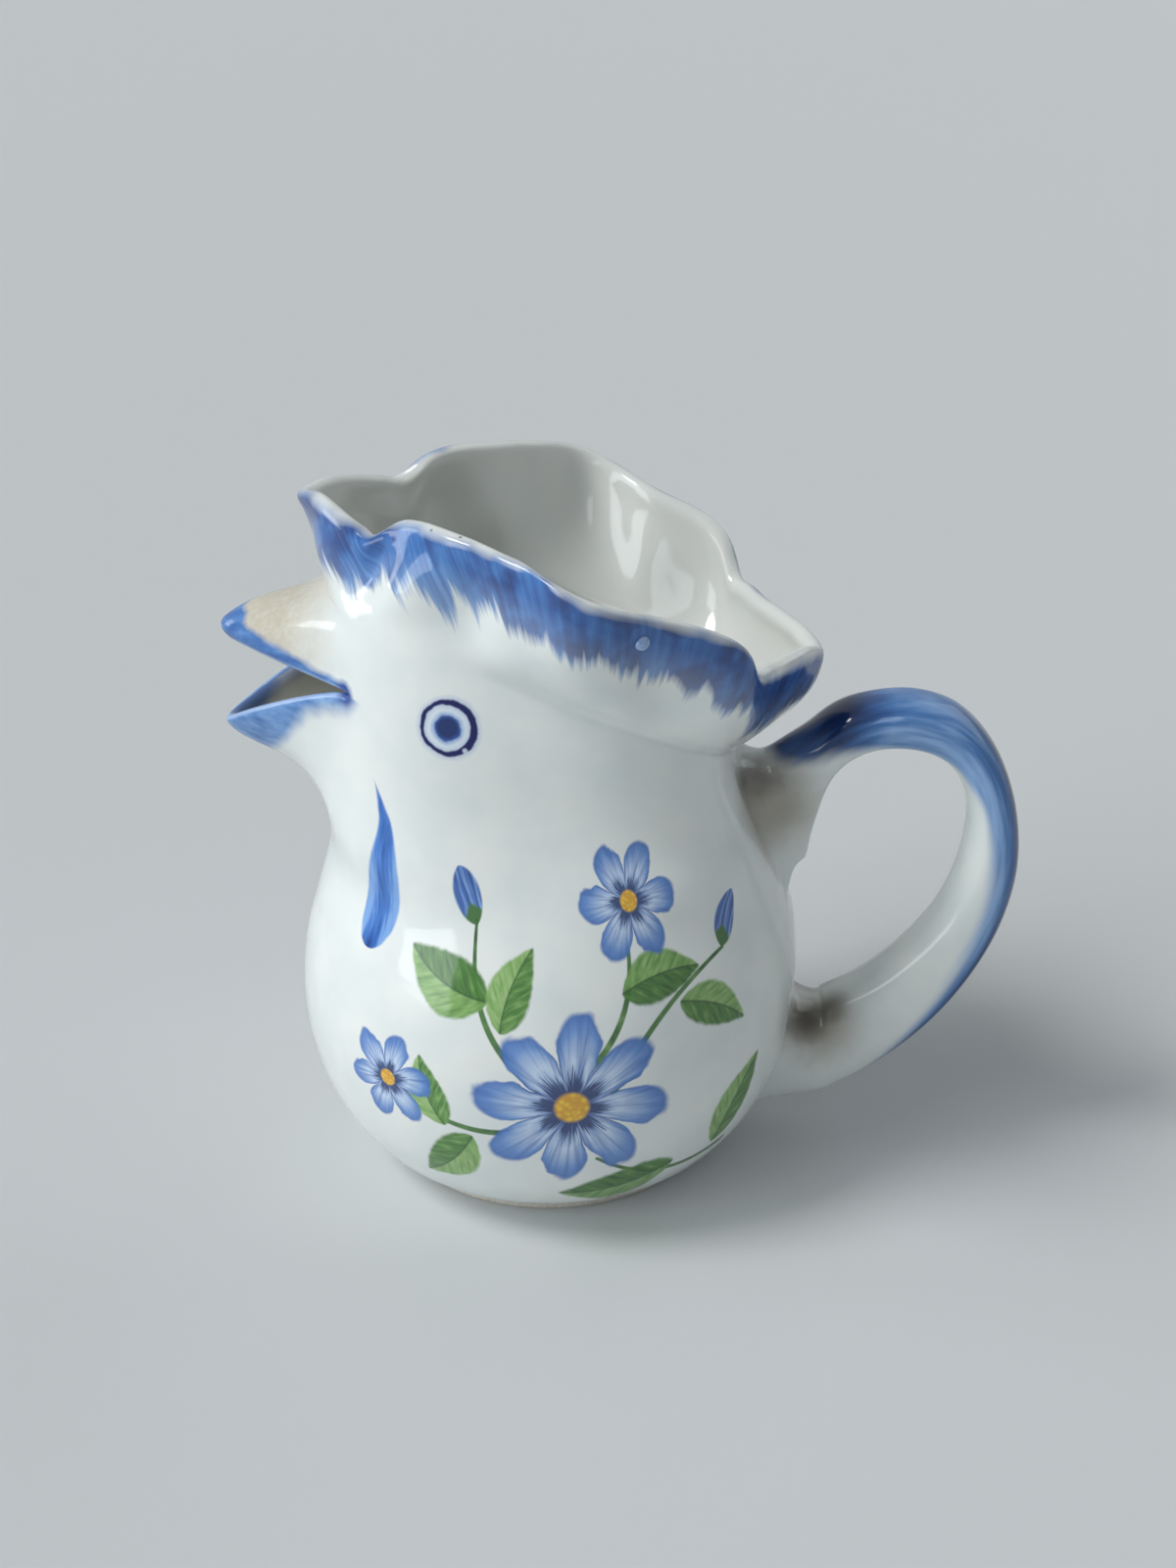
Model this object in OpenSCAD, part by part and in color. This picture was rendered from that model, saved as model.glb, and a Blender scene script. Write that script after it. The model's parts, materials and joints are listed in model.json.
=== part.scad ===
// Hen-shaped cream pitcher: a slip-cast pot with a scalloped comb as its mouth,
// an open beak as its spout and a strap handle set on with slip.
// The foot's centre is the origin, the beak points to -X and the handle to +X.

/* [Body] */
// Diameter of the round belly
belly_d = 89.6; // [80:0.1:100]
// Diameter of the foot ring
foot_d = 60; // [50:0.1:66]
// Height of the foot ring
foot_h = 1.6; // [1.2:0.1:3]
// Width of the foot ring's flat face
foot_w = 4.5; // [3:0.1:7]
// Chamfer round the foot ring's outer edge
foot_chamfer = 0.4; // [0.2:0.1:0.7]
// Thickness of the cast wall
wall_t = 3.2; // [2.4:0.1:4]
// Thickness of the floor
floor_t = 4; // [3:0.1:6]

/* [Head] */
// Height of the brow, where the comb starts above the beak
brow_h = 108.2; // [100:0.1:116]
// Reach of the brow in front of the foot's centre
brow_reach = 36.6; // [33:0.1:40]
// Drop from the brow to the nape, where the comb starts at the back
nape_drop = 27.7; // [22:0.1:32]
// Reach of the nape behind the foot's centre
nape_reach = 33.2; // [30:0.1:37]
// Width of the head at the crease below the comb
head_w = 61.4; // [56:0.1:66]
// Rise of the crease along the sides over a straight line from brow to nape
crease_rise = 4.5; // [2:0.1:7]

/* [Comb] */
// Rise of the comb's highest lobe over the brow
comb_rise = 16; // [11:0.1:22]
// Width over the two side lobes
comb_w = 91; // [82:0.1:98]
// Rounding of the lip above the straight wall
lip_r = 1.1; // [0.6:0.1:1.5]
// Depth of the flutes pressed into the comb's wall
flute_d = 2.1; // [0.6:0.1:2.6]

/* [Beak] */
// Length of the upper beak in front of the brow
upper_len = 20; // [15:0.1:25]
// Drop from the brow to the upper beak's tip
upper_drop = 8.7; // [6:0.1:11]
// Length of the lower beak in front of the brow
lower_len = 20.4; // [15:0.1:25]
// Drop from the brow to the lower beak's tip
lower_drop = 26.5; // [22:0.1:31]
// Thickness of the beak's wall
beak_t = 2.5; // [2:0.1:3]

/* [Handle] */
// How far the handle stands out behind the belly
handle_out = 39; // [32:0.1:46]
// Rise of the handle's crown over the nape
crown_rise = 7.4; // [5:0.1:10]
// How far the slip carries the strap's ends out from the pot
slip_out = 4.6; // [3:0.1:7]
// Width of the strap
strap_w = 13.2; // [10:0.1:17]
// Clearance between the slip and the body's curved wall
joint_gap = 0.15; // [0.1:0.01:0.3]

/* [Hidden] */
belly_r = belly_d / 2;
foot_r = foot_d / 2;
head_r = head_w / 2;
nape_h = brow_h - nape_drop;
comb_h = brow_h + comb_rise;
upper_tip = [-brow_reach - upper_len, brow_h - upper_drop];
lower_tip = [-brow_reach - lower_len, brow_h - lower_drop];
glaze_white = "#e8eeec";
glaze_blue = "#4f74b8";

// Columns round the pot, and columns from the beak's ridge to the mouth's corner
columns = 72;
beak_columns = 7;

// Ring stations from the foot up to the head. Each row: height at the front and at the
// back as shares of brow and nape height, reach at the front, at the back and to the
// side as shares of the belly's radius
belly_shares = [
    [0.046, 0.062, 0.772, 0.772, 0.772],
    [0.111, 0.149, 0.888, 0.888, 0.888],
    [0.190, 0.255, 0.964, 0.964, 0.964],
    [0.287, 0.385, 1.000, 1.000, 1.000],
    [0.388, 0.509, 0.980, 0.998, 0.990],
    [0.476, 0.615, 0.920, 0.969, 0.935],
    [0.555, 0.708, 0.868, 0.915, 0.857]];
// Ring stations of the head, up to just below the crease. Each row: heights as above,
// reach at the front and back as shares of brow and nape reach, and to the side as a
// share of the head's half width
head_shares = [
    [0.624, 0.776, 1.049, 1.163, 1.153],
    [0.684, 0.832, 1.044, 1.102, 1.094],
    [0.739, 0.873, 1.038, 1.060, 1.062],
    [0.790, 0.904, 1.033, 1.033, 1.049],
    [0.838, 0.929, 1.027, 1.013, 1.046],
    [0.876, 0.944, 1.024, 1.005, 1.041],
    [0.882, 0.947, 1.023, 1.004, 1.040],
    [0.899, 0.955, 1.022, 1.000, 1.036],
    [0.920, 0.964, 1.019, 0.997, 1.029],
    [0.943, 0.974, 1.016, 0.997, 1.020],
    [0.968, 0.985, 1.011, 0.997, 1.010],
    [0.989, 0.995, 1.005, 0.997, 1.003]];
// Squareness of the head's rings: 1 is an ellipse
head_square_share = 0.833;
// Ridge of each beak by station. Each row: how far the ridge stands out towards the
// tip's reach, and how far it has come from the root's height to the tip's
lower_ridge_shares = [[0, 0], [0.18, 0.28], [0.45, 0.55], [0.72, 0.71], [0.93, 0.86], [1, 1]];
upper_ridge_shares = [[0.93, 1.29], [1, 1], [0.91, 0.75], [0.675, 0.44], [0.36, 0.22], [0, 0]];
// First station of the head and of the lower beak, the two lips, the upper beak's root
// and the crease
lower_first = len(belly_shares) + 1;
lower_lip = lower_first + len(lower_ridge_shares) - 1;
upper_lip = lower_lip + 1;
upper_last = upper_lip + len(upper_ridge_shares) - 1;
crease = lower_first + len(head_shares);
// How fast the beak falls away from its ridge to its flanks
beak_fall_share = 1.45;

// The comb's rim as three lobes of points. Each row: angle from the back in degrees,
// reach as a share of the comb's half width, height as a share of the comb's height
front_lobe_shares = [
    [145, 0.709, 0.970], [153, 0.735, 0.978], [162, 0.770, 0.988],
    [172, 0.819, 0.996], [180, 0.876, 0.992]];
side_lobe_shares = [
    [35, 0.980, 0.808], [41, 1.009, 0.851], [47, 1.000, 0.879], [54, 0.962, 0.898],
    [62, 0.943, 0.915], [70, 0.980, 0.932], [77, 1.000, 0.950], [83, 0.965, 0.966],
    [89, 0.860, 0.979], [97, 0.784, 0.988], [105, 0.721, 0.993], [115, 0.686, 0.998],
    [126, 0.663, 1.000], [136, 0.655, 0.994], [141, 0.672, 0.982], [145, 0.709, 0.970]];
tail_lobe_shares = [
    [0, 1.081, 0.772], [6, 1.046, 0.784], [13, 1.004, 0.790],
    [23, 0.974, 0.796], [35, 0.980, 0.808]];
front_notch = front_lobe_shares[0][0];
side_notch = side_lobe_shares[0][0];
// Path of the comb's wall from crease to rim at the back, the side and the front:
// two steps, each as a share of the way out and of the way up
flare_shares = [
    [0, 0.62, 0.12, 1.00, 0.50], [80, 0.35, 0.20, 0.85, 0.62], [180, 0.25, 0.33, 0.60, 0.66]];
// Lean of the wall's thickness at mid height, at the back, the side and the front
lean_shares = [[0, 0.9], [80, 0.35], [180, 0.15]];
// Flutes round the wall: angle from the back, and how far out or in at mid height
flute_shares = [
    [0, 0], [20, -0.2], [42, 0.5], [58, -0.5], [72, 0.1], [87, 1], [103, -0.9],
    [126, 0.8], [145, -0.7], [163, 0.5], [180, 0]];
comb_bands = 8;

// Handle sections between the roots. Each row: outer edge and inner edge, then half
// width as a share of the strap's. An edge is a share of the way out from the belly, and
// a height: up to 1 a share of the nape's height, from 1 to 2 of the way on to the crown
handle_shares = [
    [[-0.005, 1.00], [0.067, 0.798], 0.92],
    [[0.147, 1.59], [0.134, 0.899], 0.98], [[0.326, 1.86], [0.278, 0.955], 1.00],
    [[0.513, 1.88], [0.464, 0.963], 1.00], [[0.697, 1.52], [0.618, 0.937], 1.00],
    [[0.852, 0.967], [0.712, 0.882], 1.00], [[0.957, 0.847], [0.757, 0.801], 1.00],
    [[1.000, 0.714], [0.744, 0.708], 1.00], [[0.974, 0.590], [0.693, 0.618], 1.00],
    [[0.884, 0.462], [0.598, 0.534], 1.01], [[0.727, 0.333], [0.458, 0.454], 1.03],
    [[0.525, 0.224], [0.315, 0.395], 1.06], [[0.310, 0.144], [0.175, 0.355], 1.10]];
// Squareness of the strap's section, points round it, and sections along it
strap_square_share = 0.8;
strap_points = 20;
strap_sections = 28;
// Roots of the handle. Each row: lowest and highest place of the slip on the pot, and of
// the strap's end, as shares of the nape's height, and half width of both as shares
top_root_shares = [[0.634, 0.951, 1.00], [0.694, 0.950, 0.80]];
foot_root_shares = [[0.057, 0.356, 1.30], [0.097, 0.337, 1.14]];
print_rings = 3;
// Fillet of slip half way from the pot to the strap: shares of the way out and inwards
fillet_out_share = 0.4;
fillet_in_share = 0.7;

function lerp(a, b, t) = a + (b - a) * t;
function unit(v) = v / norm(v);
// Smooth curve through the rows of a table, for t from 0 to 1
function spline(tab, t) =
    let (n = len(tab) - 1, k = min(floor(t * n), n - 1), f = t * n - k)
    let (a = tab[max(k - 1, 0)], b = tab[k], c = tab[k + 1], d = tab[min(k + 2, n)])
    b + ((c - a) * f + (2 * a - 5 * b + 4 * c - d) * f * f + (3 * b - a - 3 * c + d) * f * f * f) / 2;
// Index of the table row at or before an angle, and a smooth value there
function row_at(tab, a, k = 0) = k >= len(tab) - 2 || a < tab[k + 1][0] ? k : row_at(tab, a, k + 1);
function slope(tab, k) =
    let (a = tab[max(k - 1, 0)], b = tab[min(k + 1, len(tab) - 1)]) (b - a) / (b[0] - a[0]);
function smooth_at(tab, a) =
    let (k = row_at(tab, a), p = tab[k], q = tab[k + 1], s = q[0] - p[0], f = (a - p[0]) / s)
    let (m = slope(tab, k) * s, n = slope(tab, k + 1) * s, g = 1 - f)
    p * g * g * (1 + 2 * f) + q * f * f * (3 - 2 * f) + m * f * g * g - n * g * f * f;
// Cosine or sine drawn towards a square
function squared(v, share) = sign(v) * pow(abs(v), share);

// Stations of the pot: front x and z, back x and z, half width, squareness, how far the
// beak's ridge stands out in x and z, and the beak's pull on the inner wall
foot_station = [-foot_r, foot_h, foot_r, foot_h, foot_r, 1, 0, 0, 0];
belly_stations = [for (s = belly_shares)
    [-belly_r * s[2], brow_h * s[0], belly_r * s[3], nape_h * s[1], belly_r * s[4], 1, 0, 0, 0]];
head_front = [for (s = head_shares) [-brow_reach * s[2], brow_h * s[0]]];
lower_root = head_front[0];
upper_root = head_front[upper_last - lower_first];
function ridge(root, tip, s) = [lerp(root[0], tip[0], s[0]), lerp(root[1], tip[1], s[1])];
function beak_push(k) =
    k <= lower_lip
    ? ridge(lower_root, lower_tip, lower_ridge_shares[k - lower_first])
    : ridge(upper_root, upper_tip, upper_ridge_shares[k - upper_lip]);
head_stations = [for (i = [0 : len(head_shares) - 1])
    let (s = head_shares[i], k = lower_first + i, f = head_front[i], push = beak_push(k) - f)
    [f[0], f[1], nape_reach * s[3], nape_h * s[1], head_r * s[4], head_square_share,
     push[0], push[1], min(1, 2 * norm(push) / lower_len)]];
crease_station = [-brow_reach, brow_h, nape_reach, nape_h, head_r, head_square_share, 0, 0, 0];
stations = concat([foot_station], belly_stations, head_stations, [crease_station]);
mouth = [-brow_reach, 0, (upper_tip[1] + lower_tip[1]) / 2];

beak_span = beak_columns * 360 / columns;
function fall(a) = let (f = abs(a - 180) / beak_span) f < 1 ? pow(1 - f, beak_fall_share) : 0;
function station(u) = spline(stations, u / crease);
function centre(s) = [(s[0] + s[2]) / 2, 0, (s[1] + s[3]) / 2];
// Point of the pot's outside at station u and angle a from the back
function outer_at(u, a) =
    let (s = station(u), c = centre(s), half = [(s[2] - s[0]) / 2, 0, (s[3] - s[1]) / 2])
    let (rise = crease_rise * pow(sin(a), 2) * pow(u / crease, 3))
    c + half * squared(cos(a), s[5]) + [0, s[4] * squared(sin(a), s[5]), rise]
    + [s[6], 0, s[7]] * fall(a);
function inner_at(u, a) =
    let (s = station(u), p = outer_at(u, a), g = s[8] * fall(a))
    let (q = p + unit(lerp(centre(s), mouth, g) - p) * lerp(wall_t, beak_t, g))
    [q[0], q[1], max(q[2], foot_h + floor_t)];

// Point of the comb's rim, and of the comb's outside and inside at a share t of its height
function rim_at(a) =
    let (b = a > 180 ? 360 - a : a)
    let (lobe = b >= front_notch ? front_lobe_shares : b >= side_notch ? side_lobe_shares : tail_lobe_shares)
    let (s = smooth_at(lobe, b), r = s[1] * comb_w / 2)
    [centre(crease_station)[0] + r * cos(b), r * sin(b) * (a > 180 ? -1 : 1), s[2] * comb_h - lip_r];
function comb_outer(t, a) =
    let (b = a > 180 ? 360 - a : a, p = outer_at(crease, a), q = rim_at(a), d = q - p)
    let (s = smooth_at(flare_shares, b), g = 1 - t)
    let (c1 = [d[0] * s[1], d[1] * s[1], d[2] * s[2]], c2 = [d[0] * s[3], d[1] * s[3], d[2] * s[4]])
    let (flute = flute_d * smooth_at(flute_shares, b)[1] * pow(sin(180 * t), 2))
    p + c1 * 3 * g * g * t + c2 * 3 * g * t * t + d * t * t * t
    + [cos(a), sin(a), 0] * flute;
function comb_inner(t, a) =
    let (b = a > 180 ? 360 - a : a, c = centre(crease_station), p = comb_outer(t, a))
    let (root = outer_at(crease, a), r = norm([root[0] - c[0], root[1]]))
    let (rise = lerp((c[2] - root[2]) / r, 0, t) + smooth_at(lean_shares, b)[1] * sin(180 * t))
    let (v = [c[0] - p[0], -p[1], 0])
    p + unit(v + [0, 0, norm(v) * rise]) * wall_t;

// Closed solid from a grid of points: rows closed round and capped to a centre point at
// both ends, or open. Faces are wound clockwise seen from outside
function angle(j) = 360 * j / columns;
function band(n, i, first, last) = [for (j = [first : last])
    let (k = (j + 1) % n, a = i * n, b = a + n)
    each [[a + j, b + j, b + k], [a + j, b + k, a + k]]];
function mean(list) = [for (v = list) 1] * list / len(list);
module closed_tube(rings) {
    n = len(rings[0]);
    m = len(rings);
    points = concat([for (r = rings) each r], [mean(rings[0]), mean(rings[m - 1])]);
    faces = concat(
        [for (i = [0 : m - 2]) each band(n, i, 0, n - 1)],
        [for (j = [0 : n - 1]) [j, (j + 1) % n, n * m]],
        [for (j = [0 : n - 1]) [(m - 1) * n + (j + 1) % n, (m - 1) * n + j, n * m + 1]]);
    polyhedron(points, faces, convexity = 10);
}
// Closed solid from rings that follow each other round a wall
module closed_ring(rings) {
    n = len(rings[0]);
    m = len(rings);
    faces = [for (i = [0 : m - 2]) each band(n, i, 0, n - 1)];
    last = [for (j = [0 : n - 1]) let (k = (j + 1) % n, i = (m - 1) * n)
        each [[i + j, j, k], [i + j, k, i + k]]];
    polyhedron([for (r = rings) each r], concat(faces, last), convexity = 10);
}

// Stations of the casting's rows, and the row where each beak begins and ends
belly_rows = 12;
rows = concat([for (i = [0 : belly_rows]) lower_first * i / belly_rows],
              [for (u = [lower_first + 1 : crease]) u]);
function row_of(u) = belly_rows + u - lower_first;
left = columns / 2 - beak_columns;
right = columns / 2 + beak_columns;

// Walls of a window in a double grid, along a path of outer and inner point numbers
function walls(path, into) = [for (p = [0 : len(path) - 2])
    let (a = path[p][0], b = path[p + 1][0], c = path[p + 1][1], d = path[p][1])
    each into ? [[c, b, a], [d, c, a]] : [[a, b, c], [a, c, d]]];
// Path round the cells between two rows and two columns
function around(low, high, first, last) = concat(
    [for (j = [first : last]) [low, j]], [for (i = [low + 1 : high]) [i, last]],
    [for (j = [last - 1 : -1 : first]) [high, j]], [for (i = [high - 1 : -1 : low]) [i, first]]);

// The belly, neck and head, cast in one, with the mouth cut through the front
module body_casting() {
    n = columns;
    top = len(rows) - 1;
    end = 2 * top + 1;
    outer = [for (u = rows) [for (j = [0 : n - 1]) outer_at(u, angle(j))]];
    inner = [for (i = [top : -1 : 0]) [for (j = [0 : n - 1]) inner_at(rows[i], angle(j))]];
    rings = concat(outer, inner);
    low = row_of(lower_first);
    high = row_of(upper_last);
    open = function (i) (i >= low && i < high) || (i >= end - high && i < end - low);
    sides = [for (i = [0 : end - 1]) if (i != top)
        each open(i) ? concat(band(n, i, 0, left - 1), band(n, i, right, n - 1)) : band(n, i, 0, n - 1)];
    rim = [for (j = [0 : n - 1]) let (k = (j + 1) % n, a = top * n, b = a + n)
        each [[a + j, b + j, a + k], [a + k, b + j, b + k]]];
    path = [for (p = around(low, high, left, right)) [p[0] * n + p[1], (end - p[0]) * n + p[1]]];
    base = [for (j = [0 : n - 1]) [j, (j + 1) % n, n * (end + 1)]];
    floor_faces = [for (j = [0 : n - 1]) [end * n + (j + 1) % n, end * n + j, n * (end + 1) + 1]];
    color(glaze_white)
    polyhedron(concat([for (r = rings) each r], [mean(rings[0]), mean(rings[end])]),
               concat(sides, rim, walls(path, true), base, floor_faces), convexity = 10);
}

// The flared, scalloped collar that stands on the head's crease
module comb() {
    n = columns;
    outer = [for (i = [0 : comb_bands]) [for (j = [0 : n - 1]) comb_outer(i / comb_bands, angle(j))]];
    inner = [for (i = [comb_bands : -1 : 0]) [for (j = [0 : n - 1]) comb_inner(i / comb_bands, angle(j))]];
    lip = [for (j = [0 : n - 1]) (outer[comb_bands][j] + inner[0][j]) / 2 + [0, 0, lip_r]];
    color(glaze_blue) closed_ring(concat(outer, [lip], inner));
}

// A beak: the double wall between two stations, from the mouth's one corner to the other
module beak(first, last) {
    js = [left : right];
    n = right - left + 1;
    us = [for (u = [first : last]) u];
    m = len(us);
    outer = [for (u = us) each [for (j = js) outer_at(u, angle(j))]];
    inner = [for (u = us) each [for (j = js) inner_at(u, angle(j))]];
    face = [for (i = [0 : m - 2]) each band(n, i, 0, n - 2)];
    back = [for (f = face) [f[2] + n * m, f[1] + n * m, f[0] + n * m]];
    path = [for (p = around(0, m - 1, 0, n - 1)) [p[0] * n + p[1], (m + p[0]) * n + p[1]]];
    polyhedron(concat(outer, inner), concat(face, back, walls(path, false)), convexity = 10);
}
module upper_beak() { color(glaze_white) beak(upper_lip, upper_last); }
module lower_beak() { color(glaze_blue) beak(lower_first, lower_lip); }

// The pot's back at a height
back_heights = [for (k = [0 : crease]) [stations[k][3], k]];
function back_at(z) = let (s = station(lookup(z, back_heights))) [s[2], s[3]];
// Sections of the strap: outer x and z, inner x and z, half width
function strap_z(share) = share < 1 ? nape_h * share : nape_h + crown_rise * (share - 1);
top_root = [for (t = [top_root_shares[1]])
    let (out = back_at(nape_h * t[1]), in = back_at(nape_h * t[0]))
    [out[0] + slip_out, out[1], in[0] + slip_out, in[1], strap_w / 2 * t[2]]][0];
foot_root = [for (t = [foot_root_shares[1]])
    let (x = belly_r + slip_out)
    [x, nape_h * t[0], x, nape_h * t[1], strap_w / 2 * t[2]]][0];
strap_rows = concat([top_root], [for (s = handle_shares) let (out = s[0], in = s[1])
    [belly_r + handle_out * out[0], strap_z(out[1]), belly_r + handle_out * in[0], strap_z(in[1]),
     strap_w / 2 * s[2]]], [foot_root]);
// A section is an oval between its outer and its inner edge
oval = [for (p = [0 : strap_points - 1]) let (a = 360 * p / strap_points)
    [squared(cos(a), strap_square_share), -squared(sin(a), strap_square_share)]];
function strap_ring(s) = [for (v = oval)
    [lerp(s[2], s[0], (1 + v[0]) / 2), s[4] * v[1], lerp(s[3], s[1], (1 + v[0]) / 2)]];
module handle() {
    color(glaze_blue)
    closed_tube([for (i = [0 : strap_sections]) strap_ring(spline(strap_rows, i / strap_sections))]);
}

// Oval on the pot's back, drawn in by a factor: points of the wall plus the clearance
function print_ring(print, factor, turn) = [for (v = oval * factor * turn)
    let (z = nape_h * lerp(print[0], print[1], (1 + v[0]) / 2), y = strap_w / 2 * print[2] * v[1])
    let (u = lookup(z, back_heights), s = station(u))
    outer_at(u, asin(sign(y) * pow(abs(y) / s[4], 1 / s[5]))) + [joint_gap, 0, 0]];
// A fillet of slip from a footprint on the pot to the end of the strap
module slip_joint(print, turn, section) {
    prints = [for (k = [1 : print_rings]) print_ring(print, k / print_rings, turn)];
    wide = prints[print_rings - 1];
    end = [for (v = strap_ring(section)) [v[0], turn * v[1], v[2]]];
    middle = [for (p = [0 : strap_points - 1]) let (a = wide[p], b = lerp(a, end[p], fillet_in_share))
        [lerp(a[0], end[p][0], fillet_out_share), b[1], b[2]]];
    color(glaze_white) closed_tube(concat(prints, [middle, end]));
}
module top_slip_joint() { slip_joint(top_root_shares[0], 1, top_root); }
module foot_slip_joint() { slip_joint(foot_root_shares[0], -1, foot_root); }

// The unglazed ring that the pitcher stands on
module foot_ring() {
    color("#d8d2c4")
    rotate_extrude($fn = 96)
    polygon([[foot_r - foot_w, 0], [foot_r - foot_chamfer * 2, 0], [foot_r - foot_chamfer, foot_chamfer],
             [foot_r - foot_chamfer, foot_h], [foot_r - foot_w, foot_h]]);
}

body_casting();
comb();
upper_beak();
lower_beak();
handle();
top_slip_joint();
foot_slip_joint();
foot_ring();
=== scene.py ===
import json
import math
from functools import partial
from types import SimpleNamespace
import bpy
import bmesh
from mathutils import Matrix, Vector

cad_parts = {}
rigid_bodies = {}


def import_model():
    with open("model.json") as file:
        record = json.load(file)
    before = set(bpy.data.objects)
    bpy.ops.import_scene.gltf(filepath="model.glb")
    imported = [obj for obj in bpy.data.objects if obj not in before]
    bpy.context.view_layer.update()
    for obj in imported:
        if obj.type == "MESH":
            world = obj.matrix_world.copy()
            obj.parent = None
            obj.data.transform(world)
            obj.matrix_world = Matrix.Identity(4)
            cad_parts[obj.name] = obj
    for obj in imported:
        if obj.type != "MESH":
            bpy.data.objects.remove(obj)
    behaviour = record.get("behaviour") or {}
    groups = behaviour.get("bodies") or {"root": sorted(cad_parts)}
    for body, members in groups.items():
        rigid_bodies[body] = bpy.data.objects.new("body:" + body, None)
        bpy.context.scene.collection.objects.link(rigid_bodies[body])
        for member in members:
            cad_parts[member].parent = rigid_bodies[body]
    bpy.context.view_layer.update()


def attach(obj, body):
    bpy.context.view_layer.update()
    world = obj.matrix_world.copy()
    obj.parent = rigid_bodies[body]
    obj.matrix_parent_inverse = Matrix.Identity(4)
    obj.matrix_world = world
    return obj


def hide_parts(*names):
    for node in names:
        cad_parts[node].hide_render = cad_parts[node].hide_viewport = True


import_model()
root = "root"
mm = 0.001

# Helpers


def fromHex(code):  # paint name or sRGB hex to the linear colour that a shader socket takes
    code = paint.get(code, code)
    parts = [int(code[i:i + 2], 16) / 255 for i in (1, 3, 5)]
    return [c / 12.92 if c <= 0.04045 else ((c + 0.055) / 1.055) ** 2.4 for c in parts] + [1]


# Plain words for the nodes: their type, and the setting that makes them what they are
kinds = {
    "groupInput": ("NodeGroupInput",), "groupOutput": ("NodeGroupOutput",),
    "principled": ("ShaderNodeBsdfPrincipled",), "materialOutput": ("ShaderNodeOutputMaterial",),
    "coordinates": ("ShaderNodeTexCoord",), "attribute": ("ShaderNodeAttribute",),
    "noise": ("ShaderNodeTexNoise",), "dots": ("ShaderNodeTexVoronoi",),
    "bump": ("ShaderNodeBump",), "ramp": ("ShaderNodeValToRGB",),
    "curve": ("ShaderNodeFloatCurve",), "clamp": ("ShaderNodeClamp",),
    "combine": ("ShaderNodeCombineXYZ",), "separate": ("ShaderNodeSeparateXYZ",),
    "mix": ("ShaderNodeMix",), "mixColour": ("ShaderNodeMix", "data_type", "RGBA"),
    # a range takes a value, from and to, and what these become where it isn't 0 and 1
    "range": ("ShaderNodeMapRange",),
    "softRange": ("ShaderNodeMapRange", "interpolation_type", "SMOOTHSTEP"),
}
mathWords = {
    "add": "ADD", "subtract": "SUBTRACT", "multiply": "MULTIPLY", "multiplyAdd": "MULTIPLY_ADD",
    "divide": "DIVIDE", "power": "POWER", "absolute": "ABSOLUTE", "arctan2": "ARCTAN2",
    "maximum": "MAXIMUM", "cosine": "COSINE", "sign": "SIGN",
}
vectorWords = {
    "distance": "DISTANCE", "length": "LENGTH", "scaleVector": "SCALE",
    "subtractVector": "SUBTRACT", "multiplyVector": "MULTIPLY",
}
for nodeType, words in (("ShaderNodeMath", mathWords), ("ShaderNodeVectorMath", vectorWords)):
    kinds.update({word: (nodeType, "operation", name) for word, name in words.items()})


def addNode(tree, kind, *inputs, **settings):
    # Adds one node. The inputs feed its open sockets in turn, the settings its properties or
    # named sockets. Each is a value, a colour, a socket, or a node for its first open output
    nodeType, *preset = kinds.get(kind, (kind,))
    node = tree.nodes.new(nodeType)
    if preset:
        setattr(node, *preset)
    feeds = []
    for name, value in settings.items():
        if hasattr(node, name):
            setattr(node, name, value)
        else:
            feeds.append((node.inputs[name], value))
    feeds += zip([socket for socket in node.inputs if socket.enabled], inputs)
    for socket, source in feeds:
        if isinstance(source, str):
            source = fromHex(source)
        if hasattr(source, "outputs"):
            source = next(output for output in source.outputs if output.enabled)
        if hasattr(source, "is_output"):
            tree.links.new(source, socket)
        else:
            socket.default_value = source
    return node


def lerp(a, b, t):
    return a + (b - a) * t


def spline(rows, t):  # smooth curve through evenly spaced rows, t from 0 to 1
    n = len(rows) - 1
    k = min(int(t * n), n - 1)
    f = t * n - k
    around = rows[max(k - 1, 0)], rows[k], rows[k + 1], rows[min(k + 2, n)]
    return [q + ((r - p) * f + (2 * p - 5 * q + 4 * r - s) * f * f
                 + (3 * q - p - 3 * r + s) * f ** 3) / 2 for p, q, r, s in zip(*around)]


def smoothAt(rows, at):  # smooth curve through rows whose first value is their place
    k = max(i for i in range(len(rows) - 1) if i == 0 or rows[i][0] <= at)
    span = rows[k + 1][0] - rows[k][0]
    f, g = (at - rows[k][0]) / span, 1 - (at - rows[k][0]) / span

    def slope(i):
        low, high = rows[max(i - 1, 0)], rows[min(i + 1, len(rows) - 1)]
        return [(q - p) / (high[0] - low[0]) * span for p, q in zip(low, high)]
    return [p * g * g * (1 + 2 * f) + q * f * f * (3 - 2 * f) + m * f * g * g - n * g * f * f
            for p, q, m, n in zip(rows[k], rows[k + 1], slope(k), slope(k + 1))]


def squared(value, share):
    return math.copysign(abs(value) ** share, value)


def linked(name, mesh):  # a new object in the scene
    thing = bpy.data.objects.new(name, mesh)
    bpy.context.scene.collection.objects.link(thing)
    return thing


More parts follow.
